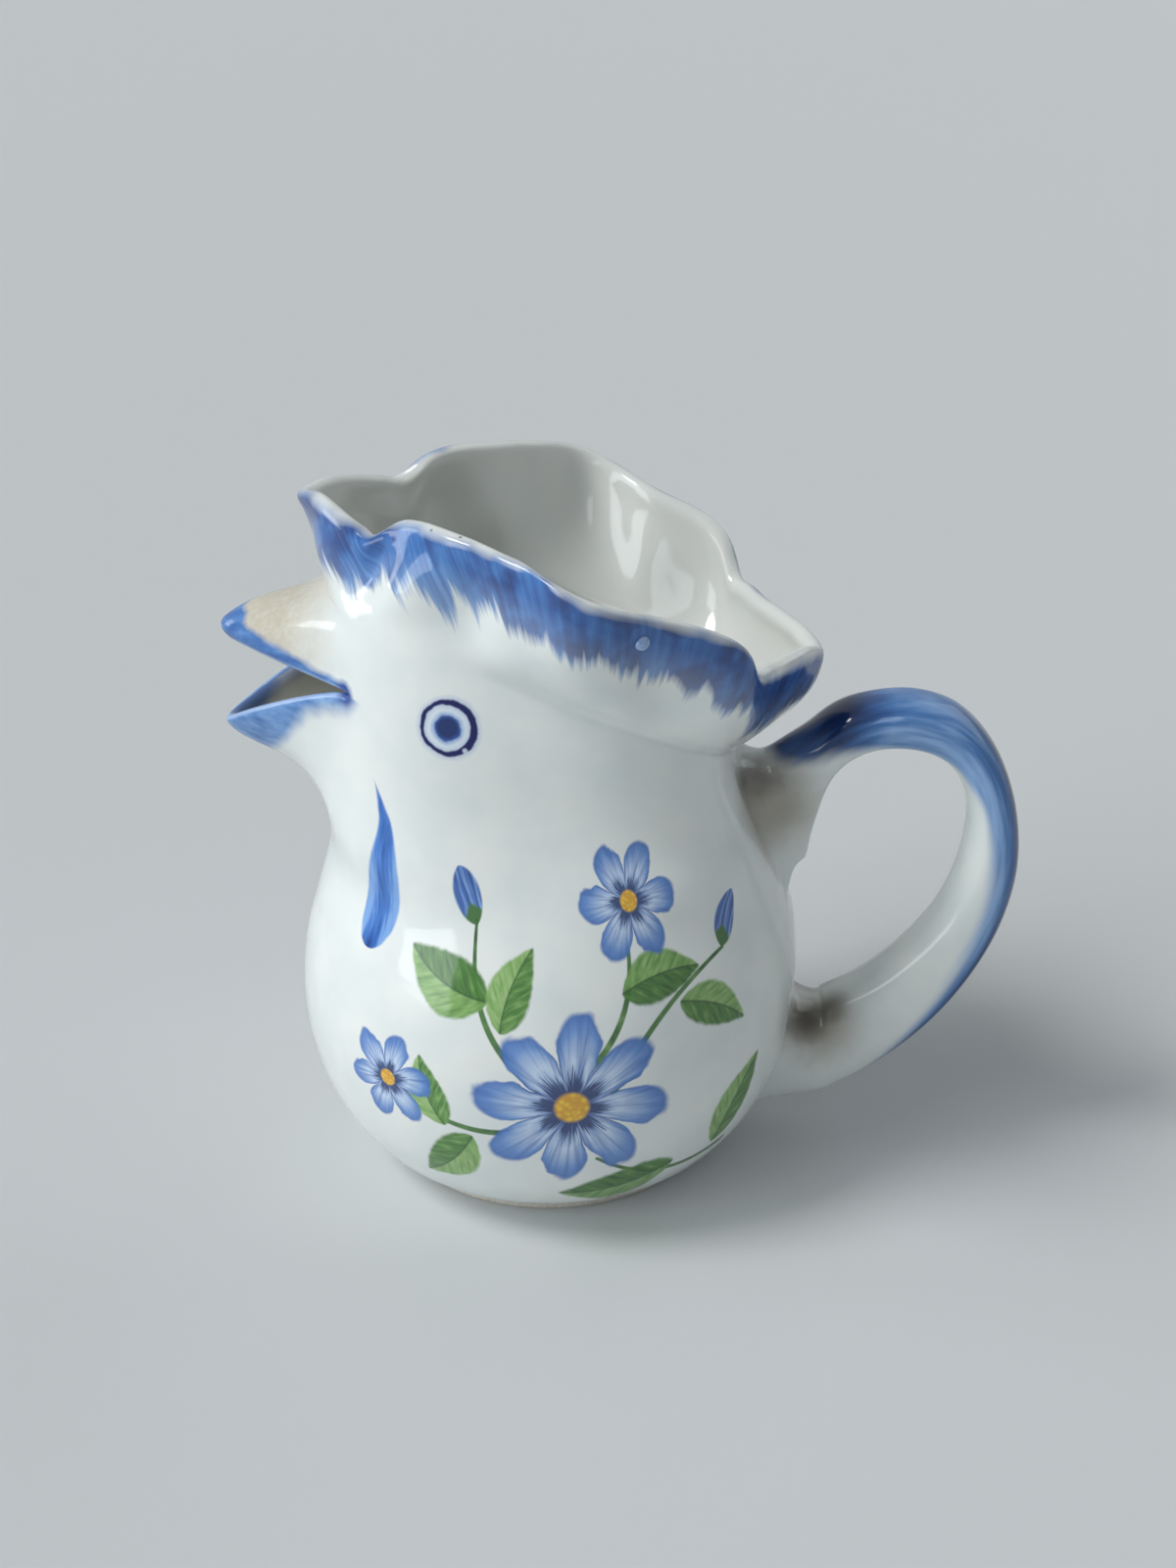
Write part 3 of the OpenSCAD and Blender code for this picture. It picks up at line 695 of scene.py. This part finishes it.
def budPaint():
    # A closed bud along X: green cup at 0, blue petals to 1
    tree, add, given, (x, y, _) = newMotif("budPaint", "Width")
    bulge = add("power", alongMotif(add, x)[2], bud["roundness"])
    aside = add("absolute", y)
    gap = add("subtract", add("multiply", bulge, given["Width"]), aside)
    strokes = add("multiplyVector", given["Place"], bud["strokes"])
    petals = colours(add("ramp", add("noise", strokes, bud["streakScale"])), bud["tones"])
    cup = add("range", add("multiplyAdd", aside, bud["cupBow"], x), *bud["cupEnd"])
    add("groupOutput", Color=add("mixColour", cup, petals, bud["cup"]),
        Mask=add("softRange", gap, *bud["softness"]))
    return tree


# The sprig on each side: kind, place round the belly and height in mm, turn in degrees,
# size in mm, and the motif's own values
sprig = {
    "girth": 44.8, "density": 0.97,
    "motifs": [
        ("stem", 39, 13, 168, 30, (0.5, 0.024)), ("stem", 0, 27, 170, 27, (0.55, 0.026)),
        ("stem", 0, 34, 115, 30, (0.5, 0.022)), ("stem", 8, 38, 70, 24, (-0.45, 0.026)),
        ("stem", 12, 33, 40, 31, (0.5, 0.02)), ("leaf", 35, 14, 64, 19, (0.28, 0.1)),
        ("leaf", 26, 14, 190, 24, (0.25, 0.02)), ("leaf", -12, 24, 226, 17, (0.3, 0.1)),
        ("leaf", -17, 25, 108, 14, (0.3, 0.16)), ("leaf", -9, 49, 158, 18, (0.32, 0.04)),
        ("leaf", -7, 44, 68, 15, (0.3, 0.14)), ("leaf", 14, 50, 6, 16, (0.3, 0.02)),
        ("leaf", 24.5, 47, -28, 16, (0.28, 0.08)), ("bud", -12.5, 60.5, 118, 10.5, (0.62,)),
        ("bud", 35.5, 53, 58, 10, (0.62,)), ("blossom", -28, 31.5, 20, 9.5, (6.0, 4.0)),
        ("blossom", 17.5, 64, 12, 10.5, (6.0, 7.0)), ("blossom", 5, 31, 4, 18, (8.0, 1.0)),
    ],
}


def sprigCoat(add, at, colour):
    groups = dict(blossom=blossomPaint(), leaf=leafPaint(), stem=stemPaint(), bud=budPaint())
    for kind, x, z, degrees, size, values in sprig["motifs"]:
        framed = add("ShaderNodeMapping", at.plane, (x, z, 0), (0, 0, math.radians(degrees)),
                     (size, size, size), vector_type="TEXTURE")
        motif = add("ShaderNodeGroup", framed, *values, node_tree=groups[kind])
        mask = add("multiply", motif.outputs["Mask"], at.side)
        thin = add("multiply", mask, sprig["density"])
        colour = add("mixColour", thin, colour, motif.outputs["Color"])
    return colour


# The eye: a navy ring, thicker behind and with a gap, round a navy pupil with a soft blue halo
eye = {
    "place": (-14.7, 30.0, 92.6), "offInside": 30.0, "shake": 0.7, "shakeSize": 1.818,
    "ring": "#05115a", "ringRadius": 4.68, "ringHalfWidth": (-2.0, 4.0, 0.34, 0.62),
    "ringEdge": (-0.15, 0.12), "gap": (-12.1, 31.3, 89.1), "gapRadius": (0.25, 0.55),
    "halo": "#8fabdc", "haloEdge": (-0.9, 0.1, 0, 0.5), "whiteRadius": (4.6, 3.6),
    "pupilReach": 6.0,
    "tones": [(0.32, "#19316a"), (0.40, "#30529a"), (0.46, "#a3bbe0"), (0.56, "#dbe5ee")],
}


def eyeCoat(add, at, colour):
    way = add("subtractVector", at.mirrored, eye["place"])
    off = add("multiplyAdd", at.inside, eye["offInside"], add("length", way))
    shake = add("noise", at.place, 1 / eye["shakeSize"])
    shaky = add("multiplyAdd", shake, eye["shake"], off)
    halfWidth = add("range", add("separate", way).outputs[0], *eye["ringHalfWidth"])
    fromRing = add("absolute", add("subtract", shaky, eye["ringRadius"]))
    inset = add("subtract", halfWidth, fromRing)
    whole = add("range", add("distance", at.mirrored, eye["gap"]), *eye["gapRadius"])
    ring = add("multiply", add("range", inset, *eye["ringEdge"]), whole)
    pupil = colours(add("ramp", add("divide", shaky, eye["pupilReach"])), eye["tones"])
    colour = add("mixColour", add("range", shaky, *eye["whiteRadius"]), colour, pupil)
    colour = add("mixColour", add("range", inset, *eye["haloEdge"]), colour, eye["halo"])
    return add("mixColour", ring, colour, eye["ring"])


# The wattle: one loaded stroke, pointed above and full below, by the way down it
wattle = {
    "top": 82.0, "length": 30.0, "place": -37.5, "halfWidth": 4.9, "sway": 3.9,
    "widths": [(0, 0), (0.17, 0.26), (0.305, 0.46), (0.467, 0.74), (0.62, 0.93), (0.8, 1),
               (0.92, 0.78), (0.98, 0.45), (1, 0)],
    "sways": [(0, 0), (0.17, 0.62), (0.305, 0.95), (0.467, 1), (0.62, 0.88), (0.83, 0.6), (1, 0.4)],
    # bristles per mm across and down it, and what makes the tone deeper or paler
    "softness": (0.02, 0.6), "bristles": (0.9, 0.12, 1), "deepMiddle": (0.4, 3.2, -0.2, 0.26),
    "blob": (0.8, 0.97, 0, -0.3), "blobWidth": (3.0, 1.0),
    "tones": [(0.0, "#1b3d82"), (0.22, "#3163b0"), (0.45, "#4a7ecb"), (0.72, "#7ea8e0")],
}


def wattleCoat(add, at, colour):
    down = add("range", at.z, wattle["top"], wattle["top"] - wattle["length"])
    full = curved(add("curve", Value=down), wattle["widths"])
    sway = curved(add("curve", Value=down), wattle["sways"])
    middle = add("multiplyAdd", sway, wattle["sway"], wattle["place"])
    apart = add("absolute", add("subtract", at.girth, middle))
    inset = add("subtract", add("multiply", full, wattle["halfWidth"]), apart)
    mask = add("multiply", add("range", inset, *wattle["softness"]), at.side)
    bristles = add("noise", add("multiplyVector", at.plane, wattle["bristles"]), 1.0)
    tone = add("add", bristles, add("range", apart, *wattle["deepMiddle"]))
    blob = add("multiply", add("range", down, *wattle["blob"]),
               add("range", apart, *wattle["blobWidth"]))
    tone = add("add", tone, blob)
    return add("mixColour", mask, colour, colours(add("ramp", tone), wattle["tones"]))


# The comb's fringe: a loaded brush pulled down from the lip, its strokes leaning with the lobe
fringe = {
    "front": -45.0, "back": 47.0, "centre": 1.7, "combRadius": 38.0,
    # lean of the strokes from the comb's front to its tail, where a half is upright
    "leans": [(0, 0.9), (0.12, 0.95), (0.22, 0.93), (0.31, 0.82), (0.41, 0.67), (0.58, 0.53),
              (0.71, 0.5), (0.85, 0.4), (0.93, 0.25), (1, 0.08)],
    "leanSpan": (2.4, -1.2),
    # strokes: width in mm, detail, and how fast they change on their way down
    "clumps": (5.5, 1.5, 0.02), "hairs": (1.0, 2.0, 0.05), "streaks": (1.2, 3.5, 0.07),
    # how far down the fringe comes in mm, and how much further its clumps and hairs do
    "reach": (0, 0.45, 9.8, 13.2), "clumpReach": 14.0, "hairReach": 8.0, "ends": (10.2, 12.8),
    # the lip stays white by turns, barer at the tail and bluer on the far front lobe
    "lip": (-2.5, -0.2), "lipTurns": -5.0, "bareTail": (0.82, 0.96, 0, -1.6),
    "bluerLip": (-25.0, 27.0, 122.6), "bluer": (13.0, 8.0, 0, 1.2),
    "thins": (5.0, 16.0, 0.96, 0.68),
    # what makes the tone deeper or paler; the darkening towards the tail is painted shade
    "patchSize": 6.25, "patches": (0.44, 0.64, 0.05, -0.22), "shadedTail": (0.3, 0.9, 0.08, -0.08),
    "paleEnds": (5.0, 14.0, 0, 0.16), "streakTone": 0.62,
    "tones": [(0.1, "#00357a"), (0.28, "#0f4f99"), (0.46, "#2f6eb6"), (0.62, "#5990ce"),
              (0.8, "#94bde4")],
}


def fringeCoat(add, at, colour):
    behind = add("range", at.x, fringe["front"], fringe["back"])
    turn = add("arctan2", at.aside, add("add", at.x, fringe["centre"]))
    leans = curved(add("curve", Value=behind), fringe["leans"])
    lean = add("multiplyAdd", leans, *fringe["leanSpan"])
    roundComb = add("multiply", turn, fringe["combRadius"])
    slanted = add("multiplyAdd", lean, at.rimDrop, roundComb)

    def strokes(width, detail, change):  # noise drawn out along the brush strokes
        lines = add("combine", add("divide", slanted, width), add("multiply", at.rimDrop, change),
                    at.sideSeed)
        return add("noise", lines, 1.0, Detail=detail)
    reach = add("range", behind, *fringe["reach"])
    reach = add("multiplyAdd", strokes(*fringe["clumps"]), fringe["clumpReach"], reach)
    reach = add("multiplyAdd", strokes(*fringe["hairs"]), fringe["hairReach"], reach)
    end = add("range", add("subtract", reach, at.rimDrop), *fringe["ends"])
    lip = add("multiplyAdd", at.broad, fringe["lipTurns"], at.rimDrop)
    lip = add("add", lip, add("range", behind, *fringe["bareTail"]))
    lobeFar = add("distance", at.place, fringe["bluerLip"])
    lip = add("add", lip, add("range", lobeFar, *fringe["bluer"]))
    mask = add("multiply", end, add("range", lip, *fringe["lip"]))
    mask = add("multiply", mask, add("range", at.rimDrop, *fringe["thins"]))
    patches = add("noise", at.place, 1 / fringe["patchSize"], Detail=2.5)
    # painted shade: the blue deepens towards the comb's tail
    depth = add("add", add("range", patches, *fringe["patches"]),
                add("range", behind, *fringe["shadedTail"]))
    depth = add("add", depth, add("range", at.rimDrop, *fringe["paleEnds"]))
    tone = add("multiplyAdd", strokes(*fringe["streaks"]), fringe["streakTone"], depth)
    return add("mixColour", mask, colour, colours(add("ramp", tone), fringe["tones"]))


# The beaks: cream-stained above, blue tip and edge, pale blue below, beige inside
beak = {
    "upperTip": (-56.6, 0, 99.5), "lowerTip": (-57.0, 0, 81.7), "mouth": (-42.0, 0, 88.0),
    "mouthRows": (13.4, 13.6), "within": (0.4, 0.6), "waverSize": 3.571, "lipWaver": 1.6,
    "tipWaver": 4.0, "speckleSize": 1.111, "speckles": (0.3, 0.6, 0.74, 1),
    # reach from the mouth or the upper tip in mm
    "beige": "#cbc5b4", "beigeReach": (30.0, 15.0, 0, 0.6), "bareReach": (14.0, 21.0),
    "creamReach": (32.0, 17.0, 0, 0.9), "tipRadius": (9.8, 8.0),
    # width of the blue edge in mm, by the way from the tip, and how soft it ends
    "upperWidth": (4.0, 25.0, 5.3, 2.5), "lowerWidth": (6.0, 24.0, 12.5, 4.4),
    "innerWidth": (2.0, 13.0, 7.0, 2.3), "upperEdge": (-0.5, 0.7), "lowerEdge": (-0.9, 3.0),
    "hairs": (0.1, 0.4, 0.6), "hairSpan": (0.55, 0.19), "lowerTone": 0.1,
    # the greyer, darker blue for the edge inside the mouth is painted shade
    # the pale line along the mouth's outer edge is a painted highlight
    "shadedInnerBlue": "#546a94", "rim": "#b3c8e8", "rimHighlightWidth": (0.9, 0.3, 0, 0.6),
    "corner": "#173f94", "cornerPlace": (-32.0, 20.1, 94.1), "cornerRadius": (3.2, 1.2, 0, 0.85),
    "tones": [(0.28, "#2e5694"), (0.48, "#4a79b9"), (0.64, "#739dd2"), (0.8, "#9bbce3")],
}


def beakCoat(add, at, colour):
    waver = add("noise", at.place, 1 / beak["waverSize"], Detail=1.5)
    upper = add("range", at.row, *beak["mouthRows"])  # above or below the mouth
    lower = add("subtract", 1.0, upper)
    within = add("range", at.inside, *beak["within"])
    mouthFar = add("distance", at.place, beak["mouth"])
    beige = add("multiply", add("range", mouthFar, *beak["beigeReach"]), within)
    colour = add("mixColour", beige, colour, beak["beige"])
    wavyLip = add("multiplyAdd", waver, beak["lipWaver"], at.lipDrop)
    tipFar = add("distance", at.place, beak["upperTip"])
    wavyTip = add("multiplyAdd", waver, beak["tipWaver"], tipFar)
    cream = add("range", wavyTip, *beak["creamReach"])
    cream = add("multiply", cream, add("multiply", upper, at.side))
    speckles = add("noise", at.place, 1 / beak["speckleSize"], Detail=4.0)
    cream = add("multiply", cream, add("range", speckles, *beak["speckles"]))
    colour = add("mixColour", cream, colour, "cream")
    upperInset = add("subtract", add("range", tipFar, *beak["upperWidth"]), wavyLip)
    upperBlue = add("maximum", add("range", upperInset, *beak["upperEdge"]),
                    add("range", wavyTip, *beak["tipRadius"]))
    chinFar = add("distance", at.place, beak["lowerTip"])
    lowerWidth = add("mix", within, add("range", chinFar, *beak["lowerWidth"]),
                     add("range", chinFar, *beak["innerWidth"]))
    lowerBlue = add("softRange", add("subtract", lowerWidth, wavyLip), *beak["lowerEdge"])
    blue = add("add", add("multiply", upperBlue, upper), add("multiply", lowerBlue, lower))
    bareCorner = add("multiply", add("range", mouthFar, *beak["bareReach"]), within)
    mask = add("multiply", blue, add("subtract", 1.0, bareCorner))
    hairs = add("noise", add("multiplyVector", at.place, beak["hairs"]), 1.0)
    tone = add("multiplyAdd", lower, beak["lowerTone"],
               add("multiplyAdd", hairs, *beak["hairSpan"]))
    # painted shade: the edge inside the mouth takes a greyer, darker blue
    hue = add("mixColour", within, colours(add("ramp", tone), beak["tones"]), beak["shadedInnerBlue"])
    # painted highlight: a pale line along the outer edge of the mouth
    rim = add("multiply", add("range", at.lipDrop, *beak["rimHighlightWidth"]), at.outside)
    hue = add("mixColour", rim, hue, beak["rim"])
    cornerFar = add("distance", at.mirrored, beak["cornerPlace"])
    hue = add("mixColour", add("range", cornerFar, *beak["cornerRadius"]), hue, beak["corner"])
    return add("mixColour", mask, colour, hue)


# The strap: its outer face brushed blue, all of it at the crown, deepest near the top root
strap = {
    # where the blue begins across the strap, from the top root to the foot root
    "borders": [(0, 1), (0.04, 0.8), (0.09, 0.6), (0.15, 0.42), (0.22, 0.22), (0.3, 0.06),
                (0.4, 0.12), (0.48, 0.28), (0.58, 0.42), (0.7, 0.54), (0.8, 0.68),
                (0.9, 0.86), (1, 1)],
    "borderSpan": (2.0, -0.9), "hairs": (7.0, 3.5), "ragged": 0.3, "softness": (-0.1, 0.34),
    "fadeOut": (0.98, 0.86), "deepRoot": (0.14, 0.24, -0.6, 0.02),
    # painted shade: the blue darkens towards the strap's outer edge past the crown
    "paleBorder": (0.05, 1.1, 0.34, 0.1), "shadedOutside": (0.2, 0.9, 0, -0.55),
    "pastCrown": (0.3, 0.5),
    "tones": [(0.1, "#142e60"), (0.34, "#2c5690"), (0.54, "#4a79b4"), (0.84, "#8fb2de")],
}


def strapCoat(add, at, colour):
    lengthwise, crosswise = strap["hairs"]
    drawn = add("combine", add("multiply", at.along, lengthwise),
                add("multiply", at.across, crosswise), at.sideSeed)
    hairs = add("noise", drawn, 1.0, Detail=3.0)
    border = curved(add("curve", Value=at.along), strap["borders"])
    edge = add("multiplyAdd", hairs, strap["ragged"], at.across)
    inset = add("subtract", edge, add("multiplyAdd", border, *strap["borderSpan"]))
    mask = add("multiply", add("softRange", inset, *strap["softness"]),
               add("range", at.along, *strap["fadeOut"]))
    shade = add("add", add("range", inset, *strap["paleBorder"]),
                add("range", at.along, *strap["deepRoot"]))
    # painted shade darkens the strap's outer edge past the crown
    shade = add("multiplyAdd", add("range", at.across, *strap["shadedOutside"]),
                add("range", at.along, *strap["pastCrown"]), shade)
    tone = add("add", hairs, shade)
    return add("mixColour", mask, colour, colours(add("ramp", tone), strap["tones"]))


# Brown darkening round the strap's two roots, and pinholes on the comb's lip: place, reach in mm,
# strength, colour
brownMarks = {
    "blotchSize": 4.545, "ragged": 0.3, "softness": (1.2, 0.3),
    "spots": [((39.0, 7.2, 68.0), 12.5, 0.62, "tan"), ((37.2, 7.3, 75.0), 7.2, 0.9, "brown"),
              ((49.0, 6.2, 24.5), 10.5, 0.62, "tan"), ((47.5, 6.6, 25.5), 6.0, 0.88, "brown"),
              ((51.5, 5.2, 28.0), 4.5, 0.5, "brown"), ((-12.1, 28.9, 123.6), 0.45, 0.8, "brown"),
              ((-16.8, 26.0, 123.8), 0.35, 0.7, "brown")],
}


def brownMarkCoat(add, at, colour):
    blotches = add("noise", at.place, 1 / brownMarks["blotchSize"])
    for spot, reach, strength, hue in brownMarks["spots"]:
        share = add("divide", add("distance", at.mirrored, spot), reach)
        far = add("multiplyAdd", blotches, brownMarks["ragged"], share)
        mask = add("softRange", far, *brownMarks["softness"], 0, strength)
        colour = add("mixColour", mask, colour, hue)
    return colour


# Slip-cast earthenware under a clear wet-looking glaze: white with a cool cast, the blue
# and green brushwork sunk into it, so the gloss runs over paint and ground alike
glaze = {
    "roughness": 0.09, "ior": 1.52,
    "dimpleSize": 5.0, "dimpleDepth": 0.07, "cloudSize": 11.11,  # mm
    "ground": [(0.3, "#dfe5e4"), (0.55, "#e6eae8"), (0.8, "#eceeea")],
    # the inner wall is a little darker and warmer than the ground: painted shade inside the pot,
    # with a warmer tint
    "inside": "#d9d9d2", "insideShadeShare": 0.55,
    # where the guides say that a point is outside, and off the strap
    "outside": (0.5, 0.1), "offStrap": (-1.6, -2.2), "sideSeed": 3.7,
}
# Fired body left dry where the foot was wiped: matt, chalky, slightly warm
bareBody = {"roughness": 0.85, "grainSize": 0.667, "grainDepth": 0.05,  # mm
            "tones": [(0.3, "#c6beae"), (0.6, "#dcd7cb"), (0.85, "#e6e2d8")]}


def newFinish(name):  # an empty material, a way to add to it, and the place in mm
    material = bpy.data.materials.new(name)
    material.use_nodes = True
    material.node_tree.nodes.clear()
    add = partial(addNode, material.node_tree)
    return material, add, add("scaleVector", add("coordinates").outputs["Object"], 1 / mm)


def marksOf(add, place):
    # What the coats are laid by: places, guides, a seed for each side and the glaze's clouds
    x, y, z = add("separate", place).outputs
    aside = add("absolute", y)
    girth = add("multiply", add("arctan2", x, aside), sprig["girth"])
    guides = {name: add("attribute", attribute_name=name).outputs["Fac"] for name in cage["guides"]}
    outside = add("range", guides["inside"], *glaze["outside"])
    offStrap = add("range", guides["across"], *glaze["offStrap"])
    return SimpleNamespace(
        place=place, x=x, z=z, aside=aside, mirrored=add("combine", x, aside, z), girth=girth,
        plane=add("combine", girth, z), outside=outside, side=add("multiply", outside, offStrap),
        sideSeed=add("multiply", add("sign", y), glaze["sideSeed"]),
        broad=add("noise", place, 1 / glaze["cloudSize"]), **guides)


def glazedPottery():
    material, add, place = newFinish("glazedEarthenware")
    at = marksOf(add, place)
    ground = colours(add("ramp", at.broad), glaze["ground"])
    # painted shade: the inner wall is mixed a little darker
    inside = add("multiply", at.inside, glaze["insideShadeShare"])
    colour = add("mixColour", inside, ground, glaze["inside"])
    for coat in (sprigCoat, eyeCoat, wattleCoat, fringeCoat, beakCoat, strapCoat, brownMarkCoat):
        colour = coat(add, at, colour)
    dimples = add("noise", place, 1 / glaze["dimpleSize"])
    bump = add("bump", Strength=0.5, Distance=glaze["dimpleDepth"] * mm, Height=dimples)
    add("materialOutput", Surface=add("principled", colour, Roughness=glaze["roughness"],
                                      IOR=glaze["ior"], Normal=bump))
    return material


def bareClay():
    material, add, place = newFinish("bareClay")
    grain = add("noise", place, 1 / bareBody["grainSize"], Detail=5.0)
    bump = add("bump", Strength=0.4, Distance=bareBody["grainDepth"] * mm, Height=grain)
    tones = colours(add("ramp", grain), bareBody["tones"])
    add("materialOutput", Surface=add("principled", tones, Roughness=bareBody["roughness"],
                                      Normal=bump))
    return material


# A bead of glaze that set on the near side of the comb
bead = {"place": (15.7, -39.2, 110.3), "outward": (0.53, -0.79, -0.31), "radius": 1.25,
        "rise": 1.05, "segments": (24, 16),
        "cloudSize": 0.8, "tones": [(0.35, "#84a4d0"), (0.65, "#aec6e4")]}


def glazeBead():
    bm = bmesh.new()
    around, upward = bead["segments"]
    bmesh.ops.create_uvsphere(bm, u_segments=around, v_segments=upward, radius=bead["radius"])
    turned = Vector(bead["outward"]).to_track_quat("Z", "Y")
    for v in bm.verts:
        low = Vector((v.co.x, v.co.y, v.co.z * bead["rise"] / bead["radius"]))
        v.co = (Vector(bead["place"]) + turned @ low) * mm
    for face in bm.faces:
        face.smooth = True
    mesh = bpy.data.meshes.new("glazeBead")
    bm.to_mesh(mesh)
    bm.free()
    # Pooled glaze over blue, glossy, cloudy and a little paler than the paint round it
    material, add, place = newFinish("pooledGlaze")
    cloud = add("noise", place, 1 / bead["cloudSize"])
    tones = colours(add("ramp", cloud), bead["tones"])
    add("materialOutput", Surface=add("principled", tones, Roughness=glaze["roughness"],
                                      IOR=glaze["ior"]))
    mesh.materials.append(material)
    return linked("glazeBead", mesh)


# The pitcher
potteryGlaze, clay = glazedPottery(), bareClay()
wallPoints, wallFaces, wallGuides = buildCage()
pitcher = meshOf("glazedPitcher", wallPoints, wallFaces)
tightened(pitcher, wallPoints)
for guideName, values in wallGuides.items():
    guide = pitcher.data.attributes.new(guideName, "FLOAT", "POINT")
    guide.data.foreach_set("value", [float(v) for v in values])
applied(pitcher, buildSkinTree(potteryGlaze))
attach(pitcher, root)
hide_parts("body_casting", "comb", "upper_beak", "lower_beak", "handle",
            "top_slip_joint", "foot_slip_joint")
print("pitcher:", len(pitcher.data.polygons), "faces")
drop = glazeBead()
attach(drop, root)
print("bead of glaze:", len(drop.data.polygons), "faces")
for thing in bpy.data.objects:
    if thing.type == "MESH" and thing.name.startswith("foot_ring"):
        for one in thing.material_slots:
            one.material = clay
print("foot ring: bare clay")


# Floor, light and camera
studio = {
    "floor": "#ced1d2", "floorRoughness": 0.6, "floorSize": 16.0,
    "room": "#dde3e6", "roomStrength": 0.26, "backdrop": 0.62,
    "sunFrom": (-0.75, -0.18, 1.0), "sunStrength": 1.55, "sunAngle": 20,
    "lens": 46.125, "sensor": 36, "nearest": 0.01,
    "eye": (11.5, -324.7, 214.1), "pitch": 24.0, "yaw": 0.79,
    # middle and half width of each window's turn, its lowest and highest rise, in degrees,
    # and strength: two on the left, one high in front and a faint one behind
    "windows": [(-148, 13, 0, 44, 4.2), (168, 6, 2, 26, 4.6), (-90, 8, 27, 48, 2.8),
                (35, 26, 15, 55, 0.9)],
    "windowEdge": 0.02,
}


def buildFloor():
    # a pale floor too wide for its edge to show
    half = studio["floorSize"] / 2
    mesh = bpy.data.meshes.new("floor")
    mesh.from_pydata([(x * half, y * half, 0) for x, y in ((-1, -1), (1, -1), (1, 1), (-1, 1))],
                     [], [(0, 1, 2, 3)])
    material = bpy.data.materials.new("paleFloor")
    material.use_nodes = True
    shader = material.node_tree.nodes["Principled BSDF"]
    shader.inputs["Base Color"].default_value = fromHex(studio["floor"])
    shader.inputs["Roughness"].default_value = studio["floorRoughness"]
    mesh.materials.append(material)
    linked("floor", mesh)


def buildRoom():
    # an even pale room with soft windows that the camera doesn't see
    world = bpy.data.worlds.new("softRoom")
    bpy.context.scene.world = world
    world.use_nodes = True
    tree = world.node_tree
    add = partial(addNode, tree)
    x, y, z = add("separate", add("coordinates").outputs["Generated"]).outputs
    turn = add("arctan2", y, x)
    rays = add("ShaderNodeLightPath").outputs
    mirrored = add("maximum", rays["Is Glossy Ray"], rays["Is Transmission Ray"])
    seen = add("maximum", rays["Is Camera Ray"], mirrored)
    strength = add("mix", seen, studio["roomStrength"], studio["backdrop"])
    hidden = add("subtract", 1.0, rays["Is Camera Ray"])
    soft = studio["windowEdge"]
    for *degrees, power in studio["windows"]:
        middle, half, low, high = (math.radians(v) for v in degrees)
        sill, head = math.sin(low), math.sin(high)
        wide = add("range", add("absolute", add("subtract", turn, middle)), half + soft, half)
        above, below = add("range", z, sill - soft, sill), add("range", z, head + soft, head)
        tall = add("multiply", above, below)
        pane = add("multiply", add("multiply", wide, tall), hidden)
        strength = add("multiplyAdd", pane, power, strength)
    sky = tree.nodes["Background"]
    sky.inputs["Color"].default_value = fromHex(studio["room"])
    tree.links.new(strength.outputs[0], sky.inputs["Strength"])
    sun = bpy.data.lights.new("sun", "SUN")
    sun.energy, sun.angle = studio["sunStrength"], math.radians(studio["sunAngle"])
    turned = Vector(studio["sunFrom"]).to_track_quat("Z", "Y").to_euler()
    linked("sun", sun).rotation_euler = turned


def placeCamera():
    camera = bpy.data.cameras.new("camera")
    camera.lens, camera.sensor_width = studio["lens"], studio["sensor"]
    camera.clip_start = studio["nearest"]
    viewer = linked("camera", camera)
    viewer.location = Vector(studio["eye"]) * mm
    viewer.rotation_euler = (math.radians(90 - studio["pitch"]), 0, math.radians(studio["yaw"]))
    bpy.context.scene.camera = viewer


buildFloor()
buildRoom()
placeCamera()
bpy.context.scene.view_settings.view_transform = "Standard"
print("studio ready")
